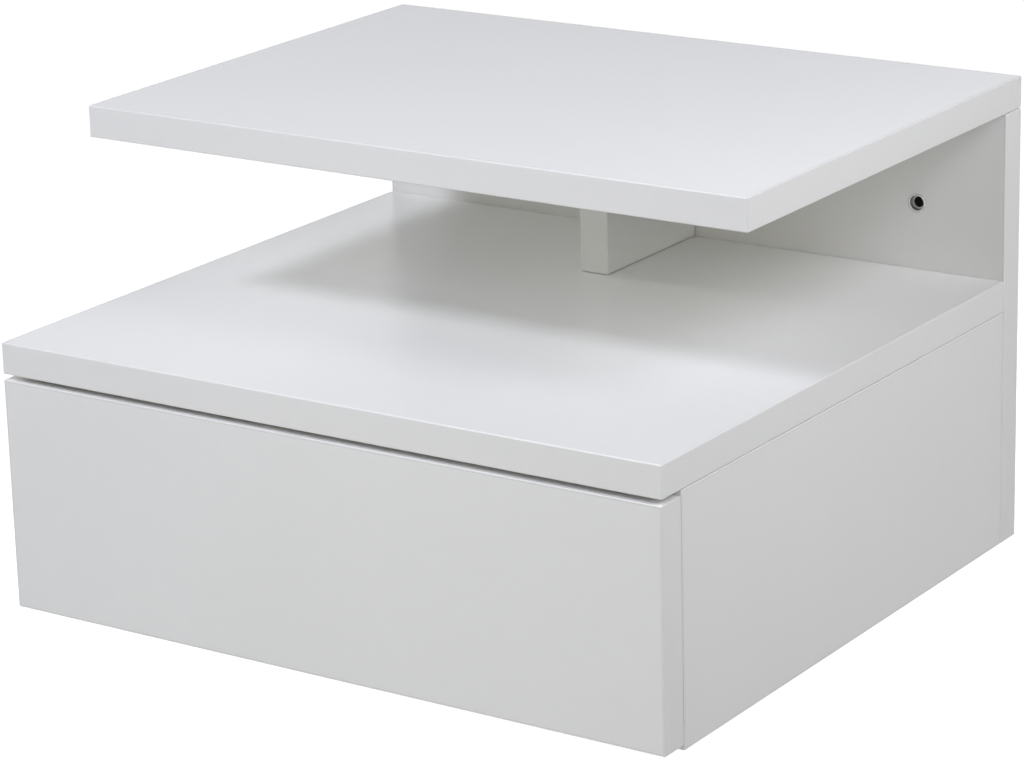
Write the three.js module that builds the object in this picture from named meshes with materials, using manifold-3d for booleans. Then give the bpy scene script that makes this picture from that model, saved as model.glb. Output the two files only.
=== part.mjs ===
// A wall-hung bedside cabinet in white laminated chipboard: an open nook between two shelves, over one drawer.
// Everything is in millimetres. +X points right, +Y into the wall and +Z up.
// The origin lies on the wall plane, midway between the two wall screws.

import * as THREE from "three";
import { mergeVertices } from "three/addons/utils/BufferGeometryUtils.js";
import Module from "manifold-3d";

const wasm = await Module();
wasm.setup();

// Overall sizes, over the finished boards
const WIDTH = 350;
const DEPTH = 320; // from the wall to the drawer's front face
const HEIGHT = 225;
const TOP_SHELF_DEPTH = 250;
const NOOK_HEIGHT = 80; // clear height between the two shelves
const SUPPORT_DEPTH = 80;
const SUPPORT_BACK_GAP = 0.6; // the open line between the support and the back panel

// Boards
const BOARD = 15; // laminated chipboard, of the cabinet and the drawer's front
const DRAWER_BOARD = 12; // foil-wrapped board, of the drawer's sides and back
const HARDBOARD = 3; // of both bottoms
const EDGE_EASE = 0.7; // the rounding of a banded edge
const CORNER_ROUND = 1.1; // the rounding where two banded edges meet
const GROOVE_DEPTH = 5;
const GROOVE_PLAY = 0.25; // free on each side of a hardboard in its groove
const JOINT_GAP = 0.2; // the hairline between two boards that butt
const SEAT_GAP = 0.3; // round a piece that sits in a bore, and under one that rests
const OVERRUN = 2; // how far a cutter runs past the face that it opens
const MERGE = 1e-4; // how near two points are to count as one

// Drawer
const FRONT_REVEAL = 2.5; // the open line above the drawer's front, and its step above the cabinet's foot
const FRONT_GAP = 1; // between the drawer's front and the edges behind it
const DRAWER_HEADROOM = 18; // from the drawer's sides up to the lower shelf
const DRAWER_BACK_ROOM = 20; // from the drawer's sides back to the back panel
const DRAWER_BOTTOM_LIFT = 8; // from the foot of the drawer's sides to its bottom
const DRAWER_FLOOR_GAP = 12; // from the cabinet's bottom to the foot of the drawer's sides
const CABINET_BOTTOM_LIFT = 12; // leaves room for fingertips behind the foot of the drawer's front

// Roller runners, in coated sheet steel
const RUNNER_CLEARANCE = 12.5; // from the cabinet's side to the drawer's side
const RUNNER_END_ROOM = 20; // from the drawer runner's end to the end of the drawer's side
const RUNNER_OVERLAP = 60; // how much of the runners stays together when the drawer is fully out
const RUNNER_SETBACK = 2; // from the cabinet side's front edge to its runner
const RUNNER_LIFT = 3.2; // from the foot of the drawer's side to the floor of the channel
const STEEL = 1.2;
const STEEL_BEND = 1.4; // centreline radius of a bend
const CHANNEL_GAP = 1.7; // from the channel's flanges to the drawer runner's web
const CHANNEL_OPENING = 22; // length at the front where the channel has no upper flange
const FLANGE_GAP = 1.2; // from the flange that rides on the front roller to the channel's web
const DRAWER_FLANGE_UNDER = 11; // the flange that carries the drawer's side
const STOP_HEIGHT = 5;
const ROLLER_RADIUS = 8; // the front roller
const PASSING_GAP = 0.6; // from a roller's pin to the screw heads that it passes
const ROLLER_RIM = 0.5;
const FRONT_ROLLER_INSET = 10;
const REAR_ROLLER_INSET = 8;
const FLANGE_CLEARANCE = 1.1; // above the flange that rides on the front roller
const REAR_ROLLER_PLAY = 0.7; // above the rear roller
const PIN_RADIUS = 2;
const PIN_SHOULDER = 0.6; // holds a roller off its web
const PIN_SHOULDER_RADIUS = 3.2;
const PIN_HEAD = 1;
const PIN_HEAD_RADIUS = 3.4;
const SCREW_PAST_CAM = 6; // from a cam's rim to the runner's screw behind it
const RUNNER_SCREW_REAR = 53; // from a runner's last screw to its rear

// Cam joints
const CAM_RADIUS = 7.5;
const CAM_WALL = 2; // board left behind a cam
const CAM_DISTANCE = 34; // from the joint to a cam's centre
const CAM_INSET = 37; // from a board's end to its cam
const CAM_TOP_INSET = 65; // from the top shelf's end to its cam
const CAM_SUNK = 0.4;
const CAM_CORE = 2.2;
const CAM_SHELL = 1.2; // the wall round the chamber that holds a bolt's head
const CAM_SWEEP = (200 * Math.PI) / 180;
const CAM_DRIVE_WIDTH = 1.5;
const CAM_DRIVE_LENGTH = 8;
const CAM_DRIVE_DEPTH = 1.6;
const BOLT_HEAD_RADIUS = 3;
const BOLT_NECK_RADIUS = 1.6;
const BOLT_NECK_ROOM = 4; // bare neck outside the cam
const BOLT_SHANK_RADIUS = 3;
const BOLT_COLLAR_RADIUS = 3.7;
const BOLT_COLLAR = 1;
const BOLT_THREAD_RADIUS = 2.9;
const BOLT_CHAMFER = 0.6;
const THREAD_WALL = 4; // board left beyond a bolt's thread or a dowel

// Dowels
const DOWEL_RADIUS = 4;
const DRAWER_DOWEL_RADIUS = 3;
const DOWEL_LENGTH = 30;
const DOWEL_CHAMFER = 0.8;
const DOWEL_FLUTES = 8;
const FLUTE_DEPTH = 0.35;
const DOWEL_TOP_INSET = 115; // from the top shelf's end to its dowel
const DRAWER_CAM_SHARE = 0.4; // of the height from the drawer's bottom to the top of its sides
const DRAWER_DOWEL_SHARE = 0.8;

// Screws
const CABINET_SCREW = {
  head: 5,
  headHeight: 3.6,
  shank: 3.2,
  tip: 1.6,
  tipLength: 4,
  length: 50,
  drive: 2.3,
  driveDepth: 2.4,
};
const DRAWER_SCREW = {
  head: 3.8,
  headHeight: 2.6,
  shank: 2,
  tip: 0.6,
  tipLength: 4,
  length: 35,
  drive: 1.7,
  driveDepth: 1.6,
};
const PAN_SCREW = {
  head: 3,
  headHeight: 1.4,
  rim: 0.8, // the slope at the edge of the head's face
  shank: 1.7,
  tip: 0.5,
  tipLength: 2.5,
  length: 10,
  drive: 1.4,
  driveDepth: 0.8,
};
const SHELF_SCREW_INSET = 75; // from the back panel's end to a screw into the lower shelf
const BACK_SCREW_INSET = 16; // from the drawer back's edge to its screw
const DRIVE_SLOT = 0.7;

// Wall sleeves, which line the two holes for the wall screws
const SLEEVE_INSET = 46; // from the back panel's end
const SLEEVE_ABOVE_SHELF = 32;
const SLEEVE_RADIUS = 3.9;
const SLEEVE_LIP_RADIUS = 4.4;
const SLEEVE_LIP = 0.3; // how far the lip stands proud of the panel
const SLEEVE_MOUTH_RADIUS = 3.6;
const SLEEVE_MOUTH_DEPTH = 3;
const SLEEVE_BORE_RADIUS = 2.5;
const SLEEVE_REAR_GAP = 0.5; // the sleeve ends this far short of the wall

// Numbers of flats and bends
const EASE_STEPS = 2;
const ROUND_STEPS = 20;
const SMALL_STEPS = 8;
const BEND_STEPS = 2;
const SOCKET_SIDES = 6;

// Places that more than one piece shares, measured from the wall plane and the cabinet's foot
const halfWidth = WIDTH / 2;
const innerHalf = halfWidth - BOARD; // a side panel's inner face
const sideMiddle = halfWidth - BOARD / 2;
const topShelfUnderside = HEIGHT - BOARD;
const lowerShelfTop = topShelfUnderside - NOOK_HEIGHT;
const lowerShelfUnderside = lowerShelfTop - BOARD;
const panelFace = -BOARD; // the back panel's front face
const panelMiddle = -BOARD / 2;
const shelfBack = panelFace - JOINT_GAP;
const frontBack = -DEPTH + BOARD; // the back of the drawer's front
const sideFront = frontBack + FRONT_GAP;
const supportBack = panelFace - SUPPORT_BACK_GAP;
const supportMiddle = supportBack - SUPPORT_DEPTH / 2;
const fixingHeight = lowerShelfTop + SLEEVE_ABOVE_SHELF;
const cabinetFloor = CABINET_BOTTOM_LIFT + HARDBOARD;
const sideCamPlaces = { front: sideFront + CAM_INSET, back: shelfBack - CAM_INSET };
const sideCamFoot = lowerShelfUnderside - CAM_DISTANCE - CAM_RADIUS;
const threadDepth = BOARD - THREAD_WALL;

const drawerHalf = innerHalf - RUNNER_CLEARANCE; // outer face of a drawer's side
const drawerInner = drawerHalf - DRAWER_BOARD;
const drawerSideMiddle = drawerHalf - DRAWER_BOARD / 2;
const drawerFoot = cabinetFloor + DRAWER_FLOOR_GAP;
const drawerTop = lowerShelfUnderside - DRAWER_HEADROOM;
const drawerBottomLow = drawerFoot + DRAWER_BOTTOM_LIFT;
const drawerBottomTop = drawerBottomLow + HARDBOARD;
const drawerRise = drawerTop - drawerBottomTop;
const drawerSideFront = frontBack + JOINT_GAP;
const drawerSideBack = panelFace - DRAWER_BACK_ROOM;
const drawerBackMiddle = drawerSideBack - DRAWER_BOARD / 2;

// Places that the runners share, for the right hand
const channelFloor = drawerFoot + RUNNER_LIFT;
const frontAxleZ = channelFloor + SEAT_GAP + ROLLER_RADIUS;
const ridingFlangeLow = frontAxleZ + ROLLER_RADIUS + SEAT_GAP;
const channelCeiling = ridingFlangeLow + STEEL + FLANGE_CLEARANCE;
const channelMiddle = (channelFloor + channelCeiling) / 2;
const rearRollerRadius = (channelCeiling - channelFloor - SEAT_GAP - REAR_ROLLER_PLAY) / 2;
const rearAxleZ = channelFloor + SEAT_GAP + rearRollerRadius;
const drawerRunnerFront = drawerSideFront;
const drawerRunnerRear = drawerSideBack - RUNNER_END_ROOM;
const runnerLength = drawerRunnerRear - frontBack;
const runnerFront = sideFront + RUNNER_SETBACK;
const runnerRear = runnerFront + runnerLength;
const drawerTravel = runnerLength - RUNNER_OVERLAP;
const frontAxleY = runnerFront + FRONT_ROLLER_INSET;
const rearAxleY = drawerRunnerRear - REAR_ROLLER_INSET;
const webFace = innerHalf - SEAT_GAP - STEEL; // the inside of the cabinet runner's web
const drawerWebFace = drawerHalf + SEAT_GAP + STEEL; // the outside of the drawer runner's web
const pinFittings = PIN_SHOULDER + PIN_HEAD + 2 * SEAT_GAP;
const screwStand = PAN_SCREW.headHeight + SEAT_GAP;
const rollerWidth = webFace - drawerWebFace - pinFittings - PASSING_GAP - screwStand;
const drawerScrewZ = ridingFlangeLow - PAN_SCREW.head - STEEL;
const behindCam = CAM_RADIUS + SCREW_PAST_CAM;
const cabinetScrewPlaces = [sideCamPlaces.front + behindCam, runnerRear - RUNNER_SCREW_REAR];
const drawerScrewPlaces = [frontBack + CAM_DISTANCE + behindCam, drawerRunnerRear - RUNNER_SCREW_REAR];

const X = new THREE.Vector3(1, 0, 0);
const Y = new THREE.Vector3(0, 1, 0);
const Z = new THREE.Vector3(0, 0, 1);
const vec = (x, y, z) => new THREE.Vector3(x, y, z);
const back = (v) => v.clone().negate();
const sideName = (hand) => (hand < 0 ? "left" : "right");

// Materials
function paint(color, roughness, metalness = 0) {
  return new THREE.MeshStandardMaterial({ color, roughness, metalness });
}
const laminate = paint(0xe9e9eb, 0.42);
const foil = paint(0xe4e4e4, 0.5);
const hardboard = paint(0xe0e0df, 0.55);
const coatedSteel = paint(0xdcdcda, 0.35, 0.1);
const nylon = paint(0xf0efe9, 0.45);
const zinc = paint(0xb9bbbd, 0.35, 1);
const nickel = paint(0xc4c4c2, 0.25, 1);
const beech = paint(0xc9a271, 0.7);

// A closed three.js geometry as a solid that can be cut and joined.
function solidOf(geometry) {
  const loose = geometry.index ? geometry.toNonIndexed() : geometry;
  const bare = new THREE.BufferGeometry().setAttribute("position", loose.getAttribute("position"));
  const merged = mergeVertices(bare, MERGE);
  return new wasm.Manifold(
    new wasm.Mesh({
      numProp: 3,
      vertProperties: merged.attributes.position.array,
      triVerts: new Uint32Array(merged.index.array),
    }),
  );
}

// A solid back as a flat-shaded three.js geometry.
function geometryOf(solid) {
  const mesh = solid.getMesh();
  const geometry = new THREE.BufferGeometry();
  geometry.setAttribute("position", new THREE.BufferAttribute(mesh.vertProperties, mesh.numProp));
  geometry.setIndex(new THREE.BufferAttribute(mesh.triVerts, 1));
  const flat = geometry.toNonIndexed();
  flat.computeVertexNormals();
  return flat;
}

// What is left of a geometry once the cutters are taken out.
function cut(geometry, cutters) {
  return geometryOf(cutters.reduce((left, cutter) => left.subtract(solidOf(cutter)), solidOf(geometry)));
}

// The frame at a point whose +Z runs along one direction and whose +X lies along another.
function frameAt(at, along, up = Math.abs(along.z) > Math.abs(along.x) ? X : Z) {
  const side = along.clone().cross(up);
  return new THREE.Matrix4().makeBasis(up, side, along).setPosition(at);
}

// A solid of revolution about +Z. Its [radius, height] pairs start and end on the axis or close on themselves.
function turned(profile, steps = SMALL_STEPS) {
  const points = profile.map(([radius, height]) => new THREE.Vector2(radius, height));
  return new THREE.LatheGeometry(points, steps).rotateX(Math.PI / 2);
}

// A round bar along +Z from one height to another.
function bar(radius, low, high, steps = SMALL_STEPS) {
  return turned(
    [
      [0, low],
      [radius, low],
      [radius, high],
      [0, high],
    ],
    steps,
  );
}

// A round bar whose flats, and not its corners, lie at the radius, so that it clears what sits in its bore.
function clearBar(radius, low, high, steps = SMALL_STEPS) {
  return bar(radius / Math.cos(Math.PI / steps), low, high, steps);
}

// A plain box between two corners.
function boxBetween(low, high) {
  const size = high.clone().sub(low);
  const middle = low.clone().add(high).multiplyScalar(1 / 2);
  return new THREE.BoxGeometry(size.x, size.y, size.z).translate(middle.x, middle.y, middle.z);
}

// The two corners of a box whose reach across the cabinet is given outwards from the middle, on either hand.
function acrossHand(hand, [near, far], [lowY, highY], [lowZ, highZ]) {
  return [
    vec(Math.min(hand * near, hand * far), lowY, lowZ),
    vec(Math.max(hand * near, hand * far), highY, highZ),
  ];
}

// A box round the origin with every edge eased, as on a banded board.
function easedBox(size) {
  const x = size.x / 2 - CORNER_ROUND;
  const y = size.y / 2 - CORNER_ROUND;
  const outline = new THREE.Shape();
  outline.absarc(x, y, CORNER_ROUND, 0, Math.PI / 2);
  outline.absarc(-x, y, CORNER_ROUND, Math.PI / 2, Math.PI);
  outline.absarc(-x, -y, CORNER_ROUND, Math.PI, 1.5 * Math.PI);
  outline.absarc(x, -y, CORNER_ROUND, 1.5 * Math.PI, 2 * Math.PI);
  const depth = size.z - 2 * EDGE_EASE;
  return new THREE.ExtrudeGeometry(outline, {
    depth,
    bevelThickness: EDGE_EASE,
    bevelSize: EDGE_EASE,
    bevelOffset: -EDGE_EASE,
    bevelSegments: EASE_STEPS,
    curveSegments: EASE_STEPS / 2,
  }).translate(0, 0, -depth / 2);
}

// A board or sheet between two corners. Joints add their cutters to it before it is built.
class Board {
  constructor(name, [low, high], material, eased = true) {
    Object.assign(this, { name, low, high, material, eased, cutters: [] });
  }

  cut(...cutters) {
    this.cutters.push(...cutters);
  }

  // A blind bore from a point on a face, running into the board.
  bore(at, along, radius, depth, steps = SMALL_STEPS) {
    this.cut(clearBar(radius, -OVERRUN, depth, steps).applyMatrix4(frameAt(at, along)));
  }

  // A groove for a hardboard's edge, from its reach in plan and the height of the sheet's lower face.
  groove(hand, acrossReach, alongReach, sheetLow) {
    const heights = [sheetLow - GROOVE_PLAY, sheetLow + HARDBOARD + GROOVE_PLAY];
    this.cut(boxBetween(...acrossHand(hand, acrossReach, alongReach, heights)));
  }

  addTo(group) {
    const size = this.high.clone().sub(this.low);
    const middle = this.low.clone().add(this.high).multiplyScalar(1 / 2);
    const blank = this.eased ? easedBox(size) : new THREE.BoxGeometry(size.x, size.y, size.z);
    const cutters = this.cutters.map((cutter) => cutter.translate(-middle.x, -middle.y, -middle.z));
    const mesh = new THREE.Mesh(cut(blank, cutters), this.material);
    mesh.name = this.name;
    mesh.position.copy(middle);
    group.add(mesh);
  }
}

// Puts a named piece, modelled round its own origin, into a group.
function place(group, name, geometry, material, at, along = Z, up) {
  const mesh = new THREE.Mesh(geometry, material);
  mesh.name = name;
  mesh.applyMatrix4(frameAt(at, along, up));
  group.add(mesh);
}

// The profile of a sunk screw, whose head's face lies at height zero and whose point looks along +Z.
function screwProfile(screw, grow = 0) {
  return [
    [0, -grow],
    [screw.head + grow, -grow],
    [screw.shank + grow, screw.headHeight],
    [screw.shank + grow, screw.length - screw.tipLength],
    [screw.tip + grow, screw.length + grow],
    [0, screw.length + grow],
  ];
}

// The profile of a screw with a thick, flat head that stands on its seat at height zero.
function panProfile(screw) {
  return [
    [0, -screw.headHeight],
    [screw.head - screw.rim, -screw.headHeight],
    [screw.head, screw.rim - screw.headHeight],
    [screw.head, 0],
    [screw.shank, 0],
    [screw.shank, screw.length - screw.tipLength],
    [screw.tip, screw.length],
    [0, screw.length],
  ];
}

// A cross recess for a driver, cut from the height of a head's face.
function crossRecess(reach, slot, face, depth) {
  const low = face - OVERRUN;
  const high = face + depth;
  return [
    boxBetween(vec(-reach, -slot / 2, low), vec(reach, slot / 2, high)),
    boxBetween(vec(-slot / 2, -reach, low), vec(slot / 2, reach, high)),
  ];
}

const hexSocket = bar(CABINET_SCREW.drive, -OVERRUN, CABINET_SCREW.driveDepth, SOCKET_SIDES);
const cabinetScrew = cut(turned(screwProfile(CABINET_SCREW)), [hexSocket]);
const drawerScrew = cut(
  turned(screwProfile(DRAWER_SCREW)),
  crossRecess(DRAWER_SCREW.drive, DRIVE_SLOT, 0, DRAWER_SCREW.driveDepth),
);
const panScrew = cut(
  turned(panProfile(PAN_SCREW)),
  crossRecess(PAN_SCREW.drive, DRIVE_SLOT, -PAN_SCREW.headHeight, PAN_SCREW.driveDepth),
);

// Drives a sunk screw through boards, from a point on the first one's face.
function driveScrew(group, name, screw, geometry, at, along, boards) {
  const seat = at.clone().addScaledVector(along, SEAT_GAP);
  const seated = frameAt(seat, along);
  for (const board of boards) {
    board.cut(bar(screw.head + SEAT_GAP, -OVERRUN, 0).applyMatrix4(seated));
    board.cut(turned(screwProfile(screw, SEAT_GAP)).applyMatrix4(seated));
  }
  place(group, name, geometry, zinc, seat, along);
}

// A fluted dowel, centred on the origin and lying along +Z.
function dowelGeometry(radius) {
  const outline = new THREE.Shape();
  for (let i = 0; i < 2 * DOWEL_FLUTES; i += 1) {
    const angle = (i * Math.PI) / DOWEL_FLUTES;
    const reach = i % 2 ? radius - FLUTE_DEPTH : radius;
    const point = [reach * Math.cos(angle), reach * Math.sin(angle)];
    if (i === 0) outline.moveTo(...point);
    else outline.lineTo(...point);
  }
  const depth = DOWEL_LENGTH - 2 * DOWEL_CHAMFER;
  return new THREE.ExtrudeGeometry(outline, {
    depth,
    bevelThickness: DOWEL_CHAMFER,
    bevelSize: DOWEL_CHAMFER,
    bevelOffset: -DOWEL_CHAMFER,
    bevelSegments: 1,
  }).translate(0, 0, -depth / 2);
}

// Sinks a dowel across a joint, to the thread depth in the near board, into which along points.
function pegJoint(group, name, radius, at, along, near, far) {
  const middle = at.clone().addScaledVector(along, threadDepth - DOWEL_LENGTH / 2);
  near.bore(at, along, radius + SEAT_GAP, threadDepth + SEAT_GAP);
  far.bore(at, back(along), radius + SEAT_GAP, DOWEL_LENGTH - threadDepth + SEAT_GAP);
  place(group, name, dowelGeometry(radius), beech, middle, along);
}

// A cam bolt. Height zero is the joint; its thread looks along +Z and its head lies in the cam's chamber.
const camChamber = CAM_RADIUS - CAM_SHELL;
const boltHeadEnd = CAM_CORE + SEAT_GAP - CAM_DISTANCE;
const boltHeadStart = Math.sqrt((camChamber - SEAT_GAP) ** 2 - BOLT_HEAD_RADIUS ** 2) - CAM_DISTANCE;
const boltShankEnd = CAM_RADIUS + BOLT_NECK_ROOM - CAM_DISTANCE;
const camBolt = turned([
  [0, boltHeadEnd],
  [BOLT_HEAD_RADIUS, boltHeadEnd],
  [BOLT_HEAD_RADIUS, boltHeadStart],
  [BOLT_NECK_RADIUS, boltHeadStart],
  [BOLT_NECK_RADIUS, boltShankEnd],
  [BOLT_SHANK_RADIUS, boltShankEnd],
  [BOLT_SHANK_RADIUS, -BOLT_COLLAR],
  [BOLT_COLLAR_RADIUS, -BOLT_COLLAR],
  [BOLT_COLLAR_RADIUS, 0],
  [BOLT_THREAD_RADIUS, 0],
  [BOLT_THREAD_RADIUS, threadDepth - BOLT_CHAMFER],
  [BOLT_THREAD_RADIUS - BOLT_CHAMFER, threadDepth],
  [0, threadDepth],
]);

// The room inside a cam: part of a ring round +Z, over the cam's sweep, which is centred on +X.
function camRing(inner, outer, middle, height) {
  const ring = new THREE.Shape();
  const start = -CAM_SWEEP / 2;
  ring.absarc(0, 0, outer, start, start + CAM_SWEEP);
  ring.absarc(0, 0, inner, start + CAM_SWEEP, start, true);
  return new THREE.ExtrudeGeometry(ring, {
    depth: height,
    bevelEnabled: false,
    curveSegments: SMALL_STEPS / 2,
  }).translate(0, 0, middle - height / 2);
}

// A cam. Height zero is the board's face, +Z looks into the board and +X towards the joint.
function camGeometry(thickness) {
  const middle = thickness / 2;
  const neckRoom = 2 * (BOLT_NECK_RADIUS + SEAT_GAP);
  const headRoom = 2 * (BOLT_HEAD_RADIUS + SEAT_GAP);
  return cut(bar(CAM_RADIUS, CAM_SUNK, thickness - CAM_WALL - SEAT_GAP, ROUND_STEPS), [
    camRing(CAM_CORE, camChamber, middle, headRoom),
    camRing(camChamber - OVERRUN, CAM_RADIUS + OVERRUN, middle, neckRoom),
    ...crossRecess(CAM_DRIVE_LENGTH / 2, CAM_DRIVE_WIDTH, CAM_SUNK, CAM_DRIVE_DEPTH),
  ]);
}

// A cam joint: the bolt is screwed into one board, and the cam sits in the face of the other.
// At is the joint's point on the bolt's axis. Along points into the bolt's board, and face into the cam's.
function camJoint(group, [prefix, suffix], at, along, face, boltBoard, camBoard, thickness) {
  const centre = at.clone().addScaledVector(along, -CAM_DISTANCE);
  const onFace = centre.clone().addScaledVector(face, -thickness / 2);
  boltBoard.bore(at, along, BOLT_THREAD_RADIUS + SEAT_GAP, threadDepth + SEAT_GAP);
  camBoard.bore(at, back(along), BOLT_COLLAR_RADIUS + SEAT_GAP, CAM_DISTANCE);
  camBoard.bore(onFace, face, CAM_RADIUS + SEAT_GAP, thickness - CAM_WALL, ROUND_STEPS);
  place(group, `${prefix}_cam_bolt_${suffix}`, camBolt, zinc, at, along);
  place(group, `${prefix}_cam_disc_${suffix}`, camGeometry(thickness), zinc, onFace, face, along);
}

// The outline of a bent strip of steel: its centreline, with rounded bends, widened to the steel's thickness.
function stripOutline(centreline) {
  const points = [];
  centreline.forEach((point, i) => {
    const last = centreline[i - 1];
    const next = centreline[i + 1];
    if (!last || !next) {
      points.push(point.clone());
      return;
    }
    const into = last.clone().sub(point).normalize().multiplyScalar(STEEL_BEND).add(point);
    const out = next.clone().sub(point).normalize().multiplyScalar(STEEL_BEND).add(point);
    points.push(...new THREE.QuadraticBezierCurve(into, point, out).getPoints(BEND_STEPS));
  });
  const side = points.map((point, i) => {
    const before = points[Math.max(i - 1, 0)];
    const after = points[Math.min(i + 1, points.length - 1)];
    const run = after.clone().sub(before).normalize();
    return new THREE.Vector2(-run.y, run.x).multiplyScalar(STEEL / 2);
  });
  const left = points.map((point, i) => point.clone().add(side[i]));
  const right = points.map((point, i) => point.clone().sub(side[i])).reverse();
  return new THREE.Shape([...left, ...right]);
}

// A strip whose centreline is given as [outward, up] pairs, run from one Y to another.
function rolledStrip(hand, centreline, front, rear) {
  const path = centreline.map(([out, up]) => new THREE.Vector2(hand * out, up));
  return new THREE.ExtrudeGeometry(stripOutline(path), { depth: rear - front, bevelEnabled: false })
    .rotateX(Math.PI / 2)
    .translate(0, rear, 0);
}

// A roller's pin. Height zero is the web's face, and the pin starts inside the web and runs along +Z.
const rollerStart = PIN_SHOULDER + SEAT_GAP;
const pinHeadStart = rollerStart + rollerWidth + SEAT_GAP;
const pin = turned([
  [0, -STEEL / 2],
  [PIN_SHOULDER_RADIUS, -STEEL / 2],
  [PIN_SHOULDER_RADIUS, PIN_SHOULDER],
  [PIN_RADIUS, PIN_SHOULDER],
  [PIN_RADIUS, pinHeadStart],
  [PIN_HEAD_RADIUS, pinHeadStart],
  [PIN_HEAD_RADIUS, pinHeadStart + PIN_HEAD / 2],
  [PIN_HEAD_RADIUS - PIN_HEAD / 2, pinHeadStart + PIN_HEAD],
  [0, pinHeadStart + PIN_HEAD],
]);

// A roller on its pin, with eased rims and a dished outer face. Height zero is the web that carries it.
function rollerGeometry(radius) {
  const high = rollerStart + rollerWidth;
  const dishFloor = high - 2 * ROLLER_RIM;
  const bore = PIN_RADIUS + SEAT_GAP;
  const hub = PIN_HEAD_RADIUS + SEAT_GAP;
  const dish = radius - 2 * ROLLER_RIM;
  return turned(
    [
      [bore, rollerStart],
      [radius - ROLLER_RIM, rollerStart],
      [radius, rollerStart + ROLLER_RIM],
      [radius, high - ROLLER_RIM],
      [radius - ROLLER_RIM, high],
      [dish, high],
      [dish - ROLLER_RIM, dishFloor],
      [hub + ROLLER_RIM, dishFloor],
      [hub, high],
      [bore, high],
      [bore, rollerStart],
    ],
    ROUND_STEPS,
  );
}

// A runner's strip with a piece cut away, its fittings joined on and its screw holes bored.
function finishedRunner(strip, away, fittings, holeX, holePlaces, holeZ) {
  const joined = fittings.reduce((solid, piece) => solid.add(solidOf(piece)), solidOf(cut(strip, [away])));
  const holes = holePlaces.map((y) => {
    const hole = clearBar(PAN_SCREW.shank + SEAT_GAP, -OVERRUN, OVERRUN);
    return hole.applyMatrix4(frameAt(vec(holeX, y, holeZ), X));
  });
  return cut(geometryOf(joined), holes);
}

// The cabinet's runner: a channel open to the drawer, with a stop lug and the front roller's pin.
function cabinetRunner(hand) {
  const web = innerHalf - SEAT_GAP - STEEL / 2;
  const tip = drawerWebFace + CHANNEL_GAP;
  const low = channelFloor - STEEL / 2;
  const high = channelCeiling + STEEL / 2;
  const path = [
    [tip, high],
    [web, high],
    [web, low],
    [tip, low],
  ];
  const mouth = acrossHand(
    hand,
    [tip - OVERRUN, webFace - SEAT_GAP],
    [runnerFront - OVERRUN, runnerFront + CHANNEL_OPENING],
    [frontAxleZ + ROLLER_RADIUS, high + OVERRUN],
  );
  const stopRear = rearAxleY - drawerTravel - rearRollerRadius - SEAT_GAP;
  const lug = acrossHand(
    hand,
    [tip + STEEL, webFace - STEEL],
    [stopRear - STEEL, stopRear],
    [low, channelFloor + STOP_HEIGHT],
  );
  const axle = frameAt(vec(hand * webFace, frontAxleY, frontAxleZ), vec(-hand, 0, 0));
  const strip = rolledStrip(hand, path, runnerFront, runnerRear);
  const fittings = [boxBetween(...lug), pin.clone().applyMatrix4(axle)];
  const away = boxBetween(...mouth);
  return finishedRunner(strip, away, fittings, hand * web, cabinetScrewPlaces, channelMiddle);
}

// The drawer's runner: a strip that carries the side, rides on the front roller and holds the rear one.
function drawerRunner(hand) {
  const web = drawerHalf + SEAT_GAP + STEEL / 2;
  const tip = webFace - FLANGE_GAP;
  const low = drawerFoot - SEAT_GAP - STEEL / 2;
  const high = ridingFlangeLow + STEEL / 2;
  const path = [
    [drawerHalf - DRAWER_FLANGE_UNDER, low],
    [web, low],
    [web, high],
    [tip, high],
  ];
  const notch = acrossHand(
    hand,
    [drawerWebFace + SEAT_GAP, tip + OVERRUN],
    [rearAxleY - rearRollerRadius - STEEL, drawerRunnerRear + OVERRUN],
    [ridingFlangeLow - STEEL, high + OVERRUN],
  );
  const axle = frameAt(vec(hand * drawerWebFace, rearAxleY, rearAxleZ), vec(hand, 0, 0));
  const strip = rolledStrip(hand, path, drawerRunnerFront, drawerRunnerRear);
  const fittings = [pin.clone().applyMatrix4(axle)];
  const away = boxBetween(...notch);
  return finishedRunner(strip, away, fittings, hand * web, drawerScrewPlaces, drawerScrewZ);
}

// Fixes a runner to a board with pan-head screws. Along points from the runner's web into the board.
function screwRunner(group, name, along, web, board, boardFace, places, z) {
  const depth = PAN_SCREW.length - STEEL;
  places.forEach((y, i) => {
    board.bore(vec(boardFace, y, z), along, PAN_SCREW.shank + SEAT_GAP, depth + SEAT_GAP);
    const seat = vec(web, y, z).addScaledVector(along, -SEAT_GAP);
    place(group, `${name}_${i ? "back" : "front"}`, panScrew, zinc, seat, along);
  });
}

// A sleeve that lines a wall screw's hole. Height zero is the panel's face, and +Z looks into the panel.
const sleeve = turned(
  [
    [SLEEVE_BORE_RADIUS, SLEEVE_MOUTH_DEPTH],
    [SLEEVE_MOUTH_RADIUS, SLEEVE_MOUTH_DEPTH],
    [SLEEVE_MOUTH_RADIUS, -SLEEVE_LIP],
    [SLEEVE_LIP_RADIUS - SLEEVE_LIP / 2, -SLEEVE_LIP],
    [SLEEVE_LIP_RADIUS, 0],
    [SLEEVE_RADIUS, 0],
    [SLEEVE_RADIUS, BOARD - SLEEVE_REAR_GAP],
    [SLEEVE_BORE_RADIUS, BOARD - SLEEVE_REAR_GAP],
    [SLEEVE_BORE_RADIUS, SLEEVE_MOUTH_DEPTH],
  ],
  ROUND_STEPS,
);

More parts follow.
